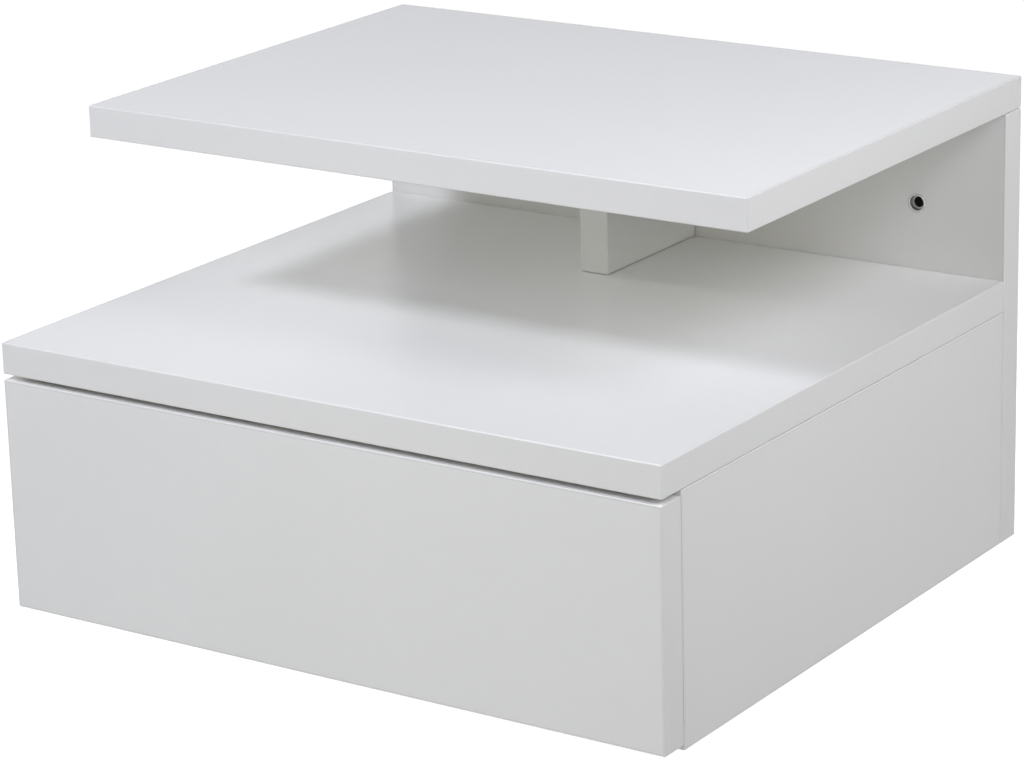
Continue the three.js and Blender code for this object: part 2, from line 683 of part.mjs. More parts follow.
// The cabinet's boards, but for its sides
const topShelf = new Board(
  "top_shelf",
  [vec(-halfWidth, -TOP_SHELF_DEPTH, topShelfUnderside), vec(halfWidth, 0, HEIGHT)],
  laminate,
);
const backPanel = new Board(
  "back_panel",
  [vec(-halfWidth, panelFace, 0), vec(halfWidth, 0, topShelfUnderside - JOINT_GAP)],
  laminate,
);
const lowerShelf = new Board(
  "lower_shelf",
  [vec(-halfWidth, -DEPTH, lowerShelfUnderside), vec(halfWidth, shelfBack, lowerShelfTop)],
  laminate,
);
const support = new Board(
  "centre_support",
  [
    vec(-BOARD / 2, supportBack - SUPPORT_DEPTH, lowerShelfTop + JOINT_GAP),
    vec(BOARD / 2, supportBack, topShelfUnderside - JOINT_GAP),
  ],
  laminate,
);
const panelReach = innerHalf + GROOVE_DEPTH - GROOVE_PLAY;
const bottomPanel = new Board(
  "bottom_panel",
  [
    vec(-panelReach, sideFront + JOINT_GAP, CABINET_BOTTOM_LIFT),
    vec(panelReach, panelFace + GROOVE_DEPTH - GROOVE_PLAY, cabinetFloor),
  ],
  hardboard,
  false,
);
const panelGroove = innerHalf + GROOVE_DEPTH;
backPanel.groove(
  1,
  [-panelGroove, panelGroove],
  [panelFace - OVERRUN, panelFace + GROOVE_DEPTH],
  CABINET_BOTTOM_LIFT,
);

// The drawer's boards, but for its sides
const drawerFront = new Board(
  "drawer_front",
  [vec(-halfWidth, -DEPTH, FRONT_REVEAL), vec(halfWidth, frontBack, lowerShelfUnderside - FRONT_REVEAL)],
  laminate,
);
const drawerBack = new Board(
  "drawer_back",
  [
    vec(JOINT_GAP - drawerInner, drawerSideBack - DRAWER_BOARD, drawerBottomTop + JOINT_GAP),
    vec(drawerInner - JOINT_GAP, drawerSideBack, drawerTop),
  ],
  foil,
);
const bottomReach = drawerInner + GROOVE_DEPTH - GROOVE_PLAY;
const drawerBottom = new Board(
  "drawer_bottom",
  [
    vec(-bottomReach, frontBack - GROOVE_DEPTH + GROOVE_PLAY, drawerBottomLow),
    vec(bottomReach, drawerSideBack, drawerBottomTop),
  ],
  hardboard,
  false,
);
const frontGroove = drawerInner + GROOVE_DEPTH;
drawerFront.groove(
  1,
  [-frontGroove, frontGroove],
  [frontBack - GROOVE_DEPTH, frontBack + OVERRUN],
  drawerBottomLow,
);

// One side of the cabinet, cammed to the lower shelf and screwed to the back panel.
function sidePanel(cabinet, hand) {
  const side = sideName(hand);
  const corners = acrossHand(
    hand,
    [innerHalf, halfWidth],
    [sideFront, shelfBack],
    [0, lowerShelfUnderside - JOINT_GAP],
  );
  const panel = new Board(`side_panel_${side}`, corners, laminate);
  panel.groove(
    hand,
    [innerHalf - OVERRUN, innerHalf + GROOVE_DEPTH],
    [sideFront - OVERRUN, shelfBack + OVERRUN],
    CABINET_BOTTOM_LIFT,
  );
  for (const [end, y] of Object.entries(sideCamPlaces)) {
    const at = vec(hand * sideMiddle, y, lowerShelfUnderside);
    camJoint(cabinet, ["side", `${side}_${end}`], at, Z, vec(hand, 0, 0), lowerShelf, panel, BOARD);
  }
  const screwAt = vec(hand * sideMiddle, 0, (sideCamFoot + cabinetFloor) / 2);
  const name = `back_screw_side_${side}`;
  driveScrew(cabinet, name, CABINET_SCREW, cabinetScrew, screwAt, back(Y), [backPanel, panel]);
  return panel;
}

// One end of the back panel: its joints with both shelves, and the sleeve for a wall screw.
function backPanelEnd(cabinet, hand) {
  const side = sideName(hand);
  const screwAt = vec(hand * (halfWidth - SHELF_SCREW_INSET), 0, lowerShelfTop - BOARD / 2);
  const name = `back_screw_shelf_${side}`;
  driveScrew(cabinet, name, CABINET_SCREW, cabinetScrew, screwAt, back(Y), [backPanel, lowerShelf]);

  const camAt = vec(hand * (halfWidth - CAM_TOP_INSET), panelMiddle, topShelfUnderside);
  camJoint(cabinet, ["top", side], camAt, Z, back(Y), topShelf, backPanel, BOARD);
  const dowelAt = vec(hand * (halfWidth - DOWEL_TOP_INSET), panelMiddle, topShelfUnderside);
  pegJoint(cabinet, `top_dowel_${side}`, DOWEL_RADIUS, dowelAt, Z, topShelf, backPanel);

  const sleeveAt = vec(hand * (halfWidth - SLEEVE_INSET), panelFace, fixingHeight);
  backPanel.bore(sleeveAt, Y, SLEEVE_RADIUS + SEAT_GAP, BOARD + OVERRUN, ROUND_STEPS);
  const seat = sleeveAt.clone().addScaledVector(Y, -SEAT_GAP / 2);
  place(cabinet, `wall_sleeve_${side}`, sleeve, nickel, seat, Y);
}

// The centre support's joints: a screw from below the lower shelf, and a dowel into the top shelf.
function supportJoints(cabinet) {
  const screwAt = vec(0, supportMiddle, lowerShelfUnderside);
  driveScrew(cabinet, "support_screw", CABINET_SCREW, cabinetScrew, screwAt, Z, [lowerShelf, support]);
  const dowelAt = vec(0, supportMiddle, topShelfUnderside);
  pegJoint(cabinet, "support_dowel", DOWEL_RADIUS, dowelAt, Z, topShelf, support);
}

// One side of the drawer, cammed to its front and screwed to its back.
function drawerSide(drawer, hand) {
  const side = sideName(hand);
  const inward = vec(-hand, 0, 0);
  const corners = acrossHand(
    hand,
    [drawerInner, drawerHalf],
    [drawerSideFront, drawerSideBack],
    [drawerFoot, drawerTop],
  );
  const board = new Board(`drawer_side_${side}`, corners, foil);
  board.groove(
    hand,
    [drawerInner - OVERRUN, drawerInner + GROOVE_DEPTH],
    [drawerSideFront - OVERRUN, drawerSideBack + OVERRUN],
    drawerBottomLow,
  );
  const atRise = (share) => vec(hand * drawerSideMiddle, frontBack, drawerBottomTop + share * drawerRise);
  const camAt = atRise(DRAWER_CAM_SHARE);
  camJoint(drawer, ["drawer", side], camAt, back(Y), inward, drawerFront, board, DRAWER_BOARD);
  const dowelAt = atRise(DRAWER_DOWEL_SHARE);
  pegJoint(drawer, `drawer_dowel_${side}`, DRAWER_DOWEL_RADIUS, dowelAt, back(Y), drawerFront, board);
  const screwHeights = { low: drawerBottomTop + BACK_SCREW_INSET, high: drawerTop - BACK_SCREW_INSET };
  for (const [level, z] of Object.entries(screwHeights)) {
    const at = vec(hand * drawerHalf, drawerBackMiddle, z);
    const name = `drawer_back_screw_${side}_${level}`;
    driveScrew(drawer, name, DRAWER_SCREW, drawerScrew, at, inward, [board, drawerBack]);
  }
  return board;
}

// Both runners of one side, their rollers and the screws that fix them.
function runnerPair(group, hand, panel, board) {
  const side = sideName(hand);
  const outward = vec(hand, 0, 0);
  const inward = vec(-hand, 0, 0);
  place(group, `cabinet_runner_${side}`, cabinetRunner(hand), coatedSteel, vec(0, 0, 0));
  place(group, `drawer_runner_${side}`, drawerRunner(hand), coatedSteel, vec(0, 0, 0));
  const frontAxle = vec(hand * webFace, frontAxleY, frontAxleZ);
  const rearAxle = vec(hand * drawerWebFace, rearAxleY, rearAxleZ);
  place(group, `front_roller_${side}`, rollerGeometry(ROLLER_RADIUS), nylon, frontAxle, inward);
  place(group, `rear_roller_${side}`, rollerGeometry(rearRollerRadius), nylon, rearAxle, outward);
  screwRunner(
    group,
    `cabinet_runner_screw_${side}`,
    outward,
    hand * webFace,
    panel,
    hand * innerHalf,
    cabinetScrewPlaces,
    channelMiddle,
  );
  screwRunner(
    group,
    `drawer_runner_screw_${side}`,
    inward,
    hand * drawerWebFace,
    board,
    hand * drawerHalf,
    drawerScrewPlaces,
    drawerScrewZ,
  );
}

const cabinet = new THREE.Group();
const drawer = new THREE.Group();
const runners = new THREE.Group();
const cabinetBoards = [topShelf, backPanel, lowerShelf, support, bottomPanel];
const drawerBoards = [drawerFront, drawerBack, drawerBottom];
for (const hand of [-1, 1]) {
  const panel = sidePanel(cabinet, hand);
  const board = drawerSide(drawer, hand);
  backPanelEnd(cabinet, hand);
  runnerPair(runners, hand, panel, board);
  cabinetBoards.push(panel);
  drawerBoards.push(board);
}
supportJoints(cabinet);
for (const board of cabinetBoards) board.addTo(cabinet);
for (const board of drawerBoards) board.addTo(drawer);

const standing = new THREE.Group();
standing.add(cabinet, drawer, runners);
standing.position.z = -fixingHeight;

const nightstand = new THREE.Group();
nightstand.add(standing);

export default nightstand;
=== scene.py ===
"""The looks of a wall-hung bedside cabinet in white laminated board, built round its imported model.

Everything is in metres, in the row frame: +X points right, +Y into the wall and +Z up.
"""

import logging
import math
from collections.abc import Iterable, Sequence
from dataclasses import dataclass, field
from enum import Enum
from functools import cached_property
from typing import ClassVar

import bmesh
import bpy
from mathutils import Matrix, Vector


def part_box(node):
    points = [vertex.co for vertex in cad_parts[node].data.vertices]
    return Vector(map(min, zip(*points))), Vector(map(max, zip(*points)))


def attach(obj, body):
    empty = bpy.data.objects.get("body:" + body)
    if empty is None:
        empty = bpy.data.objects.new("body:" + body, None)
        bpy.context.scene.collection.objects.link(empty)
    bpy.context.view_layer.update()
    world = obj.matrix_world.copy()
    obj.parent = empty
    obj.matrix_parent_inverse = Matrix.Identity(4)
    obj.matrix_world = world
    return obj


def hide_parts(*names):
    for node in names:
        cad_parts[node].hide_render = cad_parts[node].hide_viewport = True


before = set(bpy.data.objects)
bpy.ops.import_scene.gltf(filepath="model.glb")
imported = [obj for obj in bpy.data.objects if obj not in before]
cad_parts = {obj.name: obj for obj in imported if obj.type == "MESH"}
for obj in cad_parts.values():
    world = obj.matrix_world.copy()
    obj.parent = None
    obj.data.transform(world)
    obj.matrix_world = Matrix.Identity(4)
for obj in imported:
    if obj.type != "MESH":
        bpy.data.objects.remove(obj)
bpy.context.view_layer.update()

MM = 0.001
FULL_TURN = 2 * math.pi
UP = Vector((0.0, 0.0, 1.0))
BACK = Vector((0.0, 1.0, 0.0))
LOG = logging.getLogger("nightstand")

Mesh = bmesh.types.BMesh
Thing = bpy.types.Object
Socket = bpy.types.NodeSocket
Feed = Socket | float | Sequence[float]
Sockets = dict[str, Socket]
Colour = tuple[float, float, float]
Profile = Sequence[tuple[float, float]]


class Slot(Enum):
    """The record's material slots."""

    LAMINATE = "white_laminate"
    FOIL = "white_foil"
    HARDBOARD = "hardboard"
    STEEL = "coated_steel"
    NYLON = "nylon"
    NICKEL = "nickel"
    ZINC = "zinc"
    BEECH = "beech"


class Body(Enum):
    """The bodies that do not belong to one hand."""

    CABINET = "cabinet"
    DRAWER = "drawer"


class Axis(Enum):
    """The three axes, by their index in a vector."""

    ACROSS = 0
    ALONG = 1
    UP = 2


class Hand(Enum):
    """The two sides of the cabinet, by the sign of their X."""

    LEFT = -1
    RIGHT = 1

    @property
    def word(self) -> str:
        """The side's word in the names of its pieces."""
        return self.name.lower()

    @property
    def outward(self) -> Vector:
        """The direction from the middle out to this side."""
        return Vector((float(self.value), 0.0, 0.0))


# Shader nodes ---------------------------------------------------------------


class Tree:
    """Adds and joins the nodes of one node tree."""

    def __init__(self, tree: bpy.types.NodeTree) -> None:
        """Takes the tree to work on, and empties it."""
        self.tree = tree
        tree.nodes.clear()

    def add(self, kind: str, sockets: dict | None = None, **settings: object) -> bpy.types.Node:
        """Adds a node.

        Args:
            kind: The node's type.
            sockets: What its inputs get, by name or index.
            settings: Values for its own properties, set before its inputs.

        Returns:
            The node.
        """
        node = self.tree.nodes.new(kind)
        for name, value in settings.items():
            setattr(node, name, value)
        for key, value in (sockets or {}).items():
            self.feed(node.inputs[key], value)
        return node

    def feed(self, socket: Socket, value: Feed) -> None:
        """Joins an input to an output, or sets its value.

        Args:
            socket: The input.
            value: The output or the value.
        """
        if isinstance(value, Socket):
            self.tree.links.new(value, socket)
        else:
            socket.default_value = (*value, 1.0) if socket.type == "RGBA" else value

    def math(self, operation: str, *values: Feed) -> Socket:
        """Adds a math node and gives its result."""
        return self.add("ShaderNodeMath", dict(enumerate(values)), operation=operation).outputs[0]

    def noise(self, vector: Feed, scale: Feed, detail: float = 2.0) -> Socket:
        """Adds a noise texture and gives its value."""
        sockets = {"Vector": vector, "Scale": scale, "Detail": detail}
        return self.add("ShaderNodeTexNoise", sockets).outputs[0]

    def stretch(self, vector: Feed, scale: Feed, turn: Feed = (0.0, 0.0, 0.0)) -> Socket:
        """Adds a mapping that turns and scales coordinates, and gives its result."""
        sockets = {"Vector": vector, "Rotation": turn, "Scale": scale}
        return self.add("ShaderNodeMapping", sockets).outputs[0]

    def spread(self, value: Feed, low: float, high: float) -> Socket:
        """Adds a map of the values between two limits to 0 to 1, and gives its result."""
        sockets = {"Value": value, "From Min": low, "From Max": high}
        return self.add("ShaderNodeMapRange", sockets).outputs[0]

    def mix(self, factor: Feed, first: Feed, second: Feed) -> Socket:
        """Adds a colour mix and gives its result."""
        sockets = {0: factor, 6: first, 7: second}
        return self.add("ShaderNodeMix", sockets, data_type="RGBA").outputs[2]

    def blend(self, factor: Feed, first: Socket, second: Socket) -> Socket:
        """Adds a mix of two shaders and gives its result."""
        return self.add("ShaderNodeMixShader", {0: factor, 1: first, 2: second}).outputs[0]


class Group:
    """A shader node group that several finishes share, built the first time it is asked for."""

    name: ClassVar[str]
    takes: ClassVar[dict[str, str]]
    gives: ClassVar[dict[str, str]]

    @classmethod
    def group(cls) -> bpy.types.NodeTree:
        """Gives the group, and builds it if it isn't there yet.

        Returns:
            The group's tree.
        """
        found = bpy.data.node_groups.get(cls.name)
        if found:
            return found
        group = bpy.data.node_groups.new(cls.name, "ShaderNodeTree")
        for way, names in (("INPUT", cls.takes), ("OUTPUT", cls.gives)):
            for name, kind in names.items():
                group.interface.new_socket(name, in_out=way, socket_type=f"NodeSocket{kind}")
        tree = Tree(group)
        entry = dict(tree.add("NodeGroupInput").outputs.items())
        tree.add("NodeGroupOutput", cls.wire(tree, entry))
        return group

    @classmethod
    def wire(cls, tree: Tree, entry: Sockets) -> Sockets:
        """Joins the group's nodes from its entry's outputs, and says what the group gives."""
        raise NotImplementedError

    @classmethod
    def use(cls, tree: Tree, **values: Feed) -> bpy.types.NodeOutputs:
        """Places the group in a tree, feeds its inputs and gives its outputs."""
        return tree.add("ShaderNodeGroup", values, node_tree=cls.group()).outputs


class ToneDrift(Group):
    """A colour that wanders slowly between two near tones, with a finer mottle over it."""

    name = "tone_drift"
    takes = {"Vector": "Vector", "Scale": "Float", "First": "Color", "Second": "Color"}
    gives = {"Colour": "Color"}
    fineness = 14.0
    fine_share = 0.3
    slow_share = 0.7
    low = 0.35
    high = 0.65

    @classmethod
    def wire(cls, tree: Tree, entry: Sockets) -> Sockets:
        """Mixes the two tones by a slow noise and a fine one.

        Args:
            tree: The group's tree.
            entry: The coordinates, the noise's scale and the tones.

        Returns:
            The colour.
        """
        slow = tree.noise(entry["Vector"], entry["Scale"])
        fine = tree.noise(entry["Vector"], tree.math("MULTIPLY", entry["Scale"], cls.fineness))
        slow_part = tree.math("MULTIPLY", slow, cls.slow_share)
        both = tree.math("MULTIPLY_ADD", fine, cls.fine_share, slow_part)
        mask = tree.spread(both, cls.low, cls.high)
        return {"Colour": tree.mix(mask, entry["First"], entry["Second"])}


class FinePeel(Group):
    """The faint unevenness of a pressed or sprayed skin, as a height from 0 to 1."""

    name = "fine_peel"
    takes = {"Vector": "Vector", "Scale": "Float", "Waviness": "Float"}
    gives = {"Height": "Float"}
    wave_length = 9.0

    @classmethod
    def wire(cls, tree: Tree, entry: Sockets) -> Sockets:
        """Adds a long wave to a fine grain.

        Args:
            tree: The group's tree.
            entry: The coordinates, the grain's scale and the wave's share.

        Returns:
            The height.
        """
        grain = tree.noise(entry["Vector"], entry["Scale"], 1.0)
        long = tree.math("DIVIDE", entry["Scale"], cls.wave_length)
        wave = tree.noise(entry["Vector"], long, 0.0)
        return {"Height": tree.math("MULTIPLY_ADD", wave, entry["Waviness"], grain)}


class Handling(Group):
    """A roughness with the soft blotches and thin wipe marks that cleaning and hands leave."""

    name = "handling"
    takes = {"Vector": "Vector", "Scale": "Float", "Roughness": "Float", "Spread": "Float"}
    gives = {"Roughness": "Float"}
    wipe_turn = (0.2, 0.35, 0.6)
    wipe_stretch = (1.0, 11.0, 6.0)
    wipe_fineness = 2.0
    wipe_share = 0.6
    blotch_share = 1.4
    centre = 1.0

    @classmethod
    def wire(cls, tree: Tree, entry: Sockets) -> Sockets:
        """Adds blotches and stretched wipe marks to the plain roughness.

        Args:
            tree: The group's tree.
            entry: The coordinates, the blotches' scale, the roughness and how far it strays.

        Returns:
            The roughness.
        """
        blotch = tree.noise(entry["Vector"], entry["Scale"], 3.0)
        wiped = tree.stretch(entry["Vector"], cls.wipe_stretch, cls.wipe_turn)
        wipe = tree.noise(wiped, tree.math("MULTIPLY", entry["Scale"], cls.wipe_fineness), 4.0)
        blotches = tree.math("MULTIPLY", blotch, cls.blotch_share)
        both = tree.math("MULTIPLY_ADD", wipe, cls.wipe_share, blotches)
        centred = tree.math("SUBTRACT", both, cls.centre)
        rough = tree.math("MULTIPLY_ADD", centred, entry["Spread"], entry["Roughness"])
        return {"Roughness": rough}


class Flakes(Group):
    """Pressed wood flakes of several tones, with the gaps between them as a low height."""

    name = "flakes"
    takes = {"Vector": "Vector", "Scale": "Float", "Light": "Color", "Dark": "Color"}
    gives = {"Colour": "Color", "Height": "Float"}
    crumple = 2 * MM
    tone_height = 0.4

    @classmethod
    def wire(cls, tree: Tree, entry: Sockets) -> Sockets:
        """Gives each cell of a crumpled cell pattern a tone of its own.

        Args:
            tree: The group's tree.
            entry: The coordinates, the cells' scale and the two ends of their tones.

        Returns:
            The colour and the height.
        """
        bend = {"Vector": entry["Vector"], "Scale": entry["Scale"]}
        bends = tree.add("ShaderNodeTexNoise", bend).outputs["Color"]
        scaled = {0: bends, "Scale": cls.crumple}
        shift = tree.add("ShaderNodeVectorMath", scaled, operation="SCALE").outputs[0]
        bent = tree.add("ShaderNodeVectorMath", {0: entry["Vector"], 1: shift}).outputs[0]
        cells = {"Vector": bent, "Scale": entry["Scale"]}
        tones = tree.add("ShaderNodeTexVoronoi", cells).outputs["Color"]
        tone = tree.add("ShaderNodeSeparateColor", {0: tones}).outputs[0]
        edges = tree.add("ShaderNodeTexVoronoi", cells, feature="DISTANCE_TO_EDGE").outputs[0]
        height = tree.math("MULTIPLY_ADD", tone, cls.tone_height, edges)
        return {"Colour": tree.mix(tone, entry["Light"], entry["Dark"]), "Height": height}


class Grain(Group):
    """Streaks along one direction, as in wood or drawn metal."""

    name = "grain"
    takes = {**Flakes.takes, "Stretch": "Vector"}
    gives = Flakes.gives
    low = 0.3
    high = 0.7

    @classmethod
    def wire(cls, tree: Tree, entry: Sockets) -> Sockets:
        """Stretches a noise and uses it as tone and as height.

        Args:
            tree: The group's tree.
            entry: The coordinates, the streaks' scale and stretch, and their two tones.

        Returns:
            The colour and the height.
        """
        drawn = tree.stretch(entry["Vector"], entry["Stretch"])
        mask = tree.spread(tree.noise(drawn, entry["Scale"], 5.0), cls.low, cls.high)
        return {"Colour": tree.mix(mask, entry["Light"], entry["Dark"]), "Height": mask}


# Finishes -------------------------------------------------------------------


@dataclass(frozen=True)
class Finish:
    """A surface: two near tones, a roughness with handling marks, and a fine peel."""

    name: str
    colour: Colour
    drift: Colour
    roughness: float
    spread: float = 0.05
    drift_scale: float = 9.0
    peel_scale: float = 900.0
    peel_depth: float = 0.004 * MM
    waviness: float = 2.0
    metallic: float = 0.0
    specular: float = 0.5
    handling_scale: float = 14.0

    def material(self) -> bpy.types.Material:
        """Gives the finish's material, and builds it if it isn't there yet.

        Returns:
            The material.
        """
        found = bpy.data.materials.get(self.name)
        if found:
            return found
        made = bpy.data.materials.new(self.name)
        made.use_nodes = True
        made.diffuse_color = (*self.colour, 1.0)
        tree = Tree(made.node_tree)
        vector = tree.add("ShaderNodeTexCoord").outputs["Object"]
        colour, height, depth = self.pattern(tree, vector)
        handled = Handling.use(
            tree,
            Vector=vector,
            Scale=self.handling_scale,
            Roughness=self.roughness,
            Spread=self.spread,
        )
        bump = tree.add("ShaderNodeBump", {"Height": height, "Distance": depth})
        sockets = {
            "Base Color": colour,
            "Roughness": handled["Roughness"],
            "Metallic": self.metallic,
            "Specular IOR Level": self.specular,
            "Normal": bump.outputs[0],
        }
        shader = tree.add("ShaderNodeBsdfPrincipled", sockets)
        tree.add("ShaderNodeOutputMaterial", {"Surface": shader.outputs[0]})
        return made

    def pattern(self, tree: Tree, vector: Socket) -> tuple[Socket, Socket, float]:
        """Adds the finish's own pattern: slowly drifting tones and a fine peel.

        Args:
            tree: The material's tree.
            vector: The coordinates.

        Returns:
            The colour, the height and the height's depth.
        """
        drift = ToneDrift.use(
            tree, Vector=vector, Scale=self.drift_scale, First=self.colour, Second=self.drift
        )
        peel = FinePeel.use(tree, Vector=vector, Scale=self.peel_scale, Waviness=self.waviness)
        return drift["Colour"], peel["Height"], self.peel_depth


@dataclass(frozen=True)
class FlakeFinish(Finish):
    """Cut chipboard or fibreboard: flakes from the finish's colour to its drift colour."""

    flake_scale: float = 650.0
    flake_depth: float = 0.25 * MM

    def pattern(self, tree: Tree, vector: Socket) -> tuple[Socket, Socket, float]:
        """Adds the flakes.

        Args:
            tree: The material's tree.
            vector: The coordinates.

        Returns:
            The colour, the height and the height's depth.
        """
        flakes = Flakes.use(
            tree, Vector=vector, Scale=self.flake_scale, Light=self.colour, Dark=self.drift
        )
        return flakes["Colour"], flakes["Height"], self.flake_depth


@dataclass(frozen=True)
class GrainFinish(Finish):
    """Wood or drawn metal: streaks from the finish's colour to its drift colour."""

    grain_scale: float = 400.0
    grain_depth: float = 0.03 * MM
    stretch: tuple[float, float, float] = (1.0, 1.0, 0.06)

    def pattern(self, tree: Tree, vector: Socket) -> tuple[Socket, Socket, float]:
        """Adds the streaks.

        Args:
            tree: The material's tree.
            vector: The coordinates.

        Returns:
            The colour, the height and the height's depth.
        """
        grain = Grain.use(
            tree,
            Vector=vector,
            Scale=self.grain_scale,
            Stretch=self.stretch,
            Light=self.colour,
            Dark=self.drift,
        )
        return grain["Colour"], grain["Height"], self.grain_depth


@dataclass(frozen=True)
class Plating(Finish):
    """Plated metal, finely stained."""

    spread: float = 0.08
    drift_scale: float = 160.0
    metallic: float = 1.0


LAMINATE = Finish(
    "laminate_face", (0.87, 0.87, 0.862), (0.856, 0.856, 0.849), 0.24, spread=0.03, specular=0.35
)
BAND = Finish(
    "laminate_band",
    (0.86, 0.86, 0.852),
    (0.845, 0.845, 0.838),
    0.34,
    peel_scale=1400.0,
    waviness=1.2,
    specular=0.35,
)
FOIL = Finish("drawer_foil", (0.74, 0.745, 0.75), (0.72, 0.726, 0.732), 0.42, peel_scale=1200.0)
CHIPBOARD = FlakeFinish("chipboard_core", (0.52, 0.38, 0.24), (0.30, 0.19, 0.10), 0.85)
GLUE_LINE = Finish("glue_line", (0.52, 0.52, 0.51), (0.46, 0.46, 0.45), 0.6)
LACQUERED = Finish(
    "hardboard_lacquer", (0.72, 0.72, 0.715), (0.70, 0.70, 0.693), 0.45, peel_scale=500.0
)
FIBRE = FlakeFinish(
    "hardboard_fibre",
    (0.27, 0.16, 0.085),
    (0.19, 0.105, 0.05),
    0.8,
    flake_scale=1500.0,
    flake_depth=0.08 * MM,
)
STEEL = Finish("coated_steel", (0.71, 0.715, 0.71), (0.69, 0.695, 0.69), 0.38, peel_scale=1600.0)
NYLON = Finish("nylon", (0.78, 0.77, 0.72), (0.75, 0.74, 0.69), 0.4, peel_scale=1500.0)
ZINC = Plating("zinc_plate", (0.56, 0.57, 0.58), (0.46, 0.465, 0.47), 0.34, spread=0.16)
NICKEL = Plating("nickel_plate", (0.72, 0.71, 0.69), (0.64, 0.63, 0.61), 0.24)
# A darker copy of the nickel for the sleeve's recessed mouth: painted shade for the shadowed recess.
NICKEL_PAINTED_SHADE = Plating("nickel_recess", (0.44, 0.435, 0.42), (0.36, 0.355, 0.345), 0.36)
# Near black for the inside of the sleeve's bore: painted shade for the deep hole.
BORE_PAINTED_SHADE = Finish("sleeve_bore", (0.012, 0.012, 0.012), (0.02, 0.02, 0.019), 0.7, specular=0.2)
BEECH = GrainFinish("beech", (0.62, 0.42, 0.24), (0.50, 0.31, 0.16), 0.62)


# Meshes ---------------------------------------------------------------------


def thing_of(name: str, mesh: Mesh, finishes: Iterable[Finish]) -> Thing:
    """Makes an object of a bmesh and frees it.

    Args:
        name: The object's name.
        mesh: The bmesh, in its final place.
        finishes: The finishes of its material indices, in order.

    Returns:
        The linked object.
    """
    data = bpy.data.meshes.new(name)
    mesh.to_mesh(data)
    mesh.free()
    for finish in finishes:
        data.materials.append(finish.material())
    return link(name, data)


def link(name: str, data: bpy.types.ID) -> Thing:
    """Makes an object of a mesh, a lamp or a camera.

    Args:
        name: The object's name.
        data: What it shows.

    Returns:
        The linked object.
    """
    thing = bpy.data.objects.new(name, data)
    bpy.context.scene.collection.objects.link(thing)
    return thing


def settle(thing: Thing) -> None:
    """Turns an object's live modifiers into its mesh.

    Args:
        thing: The object.
    """
    graph = bpy.context.evaluated_depsgraph_get()
    data = bpy.data.meshes.new_from_object(thing.evaluated_get(graph))
    old = thing.data
    thing.modifiers.clear()
    thing.data = data
    data.name = thing.name
    bpy.data.meshes.remove(old)


def carve(thing: Thing, cutters: Sequence[Thing]) -> None:
    """Cuts closed shapes out of an object, and gives the cut walls their materials.

    Args:
        thing: The object that is cut.
        cutters: The shapes, which are removed afterwards.
    """
    for cutter in cutters:
        modifier = thing.modifiers.new("carve", "BOOLEAN")
        modifier.operation = "DIFFERENCE"
        modifier.solver = "EXACT"
        modifier.material_mode = "TRANSFER"
        modifier.object = cutter
    settle(thing)
    for cutter in cutters:
        bpy.data.meshes.remove(cutter.data)


def smooth(thing: Thing, degrees: float = 35.0) -> None:
    """Shades an object smooth across soft edges, with its flats left flat.

    Args:
        thing: The object.
        degrees: The angle from which an edge is sharp.
    """
    thing.data.shade_smooth()
    thing.data.set_sharp_from_angle(angle=math.radians(degrees))
    weighted = thing.modifiers.new("flats", "WEIGHTED_NORMAL")
    weighted.keep_sharp = True


def present(thing: Thing, body: str, slot: Slot, *nodes: str) -> None:
    """Puts a finished piece on its body, hides the nodes that it replaces and logs its face count.

    Args:
        thing: The piece.
        body: The body that it rides on.
        slot: The material slot of its finish; not used.
        nodes: The nodes that it replaces.
    """
    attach(thing, body)
    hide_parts(*nodes)
    LOG.info("%s on %s, %d faces", thing.name, body, len(thing.data.polygons))


def box_mesh(low: Vector, high: Vector) -> Mesh:
    """Makes a box.

    Args:
        low: The corner with the lowest coordinates.
        high: The corner with the highest.

    Returns:
        The box.
    """
    mesh = bmesh.new()
    bmesh.ops.create_cube(mesh, size=1.0)
    bmesh.ops.scale(mesh, vec=high - low, verts=mesh.verts)
    bmesh.ops.translate(mesh, vec=(low + high) / 2, verts=mesh.verts)
    return mesh


def bar_mesh(radius: float, length: float, sides: int) -> Mesh:
    """Makes a bar along Z, round the origin.

    Args:
        radius: The distance from its middle to its corners.
        length: Its length.
        sides: The number of its flats.

    Returns:
        The bar.
    """
    mesh = bmesh.new()
    bmesh.ops.create_cone(
        mesh, cap_ends=True, segments=sides, radius1=radius, radius2=radius, depth=length
    )
    return mesh


def ease(mesh: Mesh, edges: Iterable[bmesh.types.BMEdge], radius: float, segments: int) -> None:
    """Rounds edges.

    Args:
        mesh: The mesh that they are in.
        edges: The edges.
        radius: How far the rounding reaches from each edge.
        segments: The number of its flats.
    """
    bmesh.ops.bevel(
        mesh,
        geom=list(edges),
        offset=radius,
        segments=segments,
        profile=0.5,
        affect="EDGES",
        material=-1,
    )


def swing(mesh: Mesh, degrees: float, axis: str) -> None:
    """Turns a mesh about an axis through the origin, which its letter names."""
    turn = Matrix.Rotation(math.radians(degrees), 3, axis)
    bmesh.ops.rotate(mesh, cent=(0.0, 0.0, 0.0), matrix=turn, verts=mesh.verts)


def outline(mesh: Mesh, profile: Profile) -> list[bmesh.types.BMVert]:
    """Adds the points of a profile's radii and heights in the plane through +X and +Z."""
    return [mesh.verts.new((radius, 0.0, height)) for radius, height in profile]


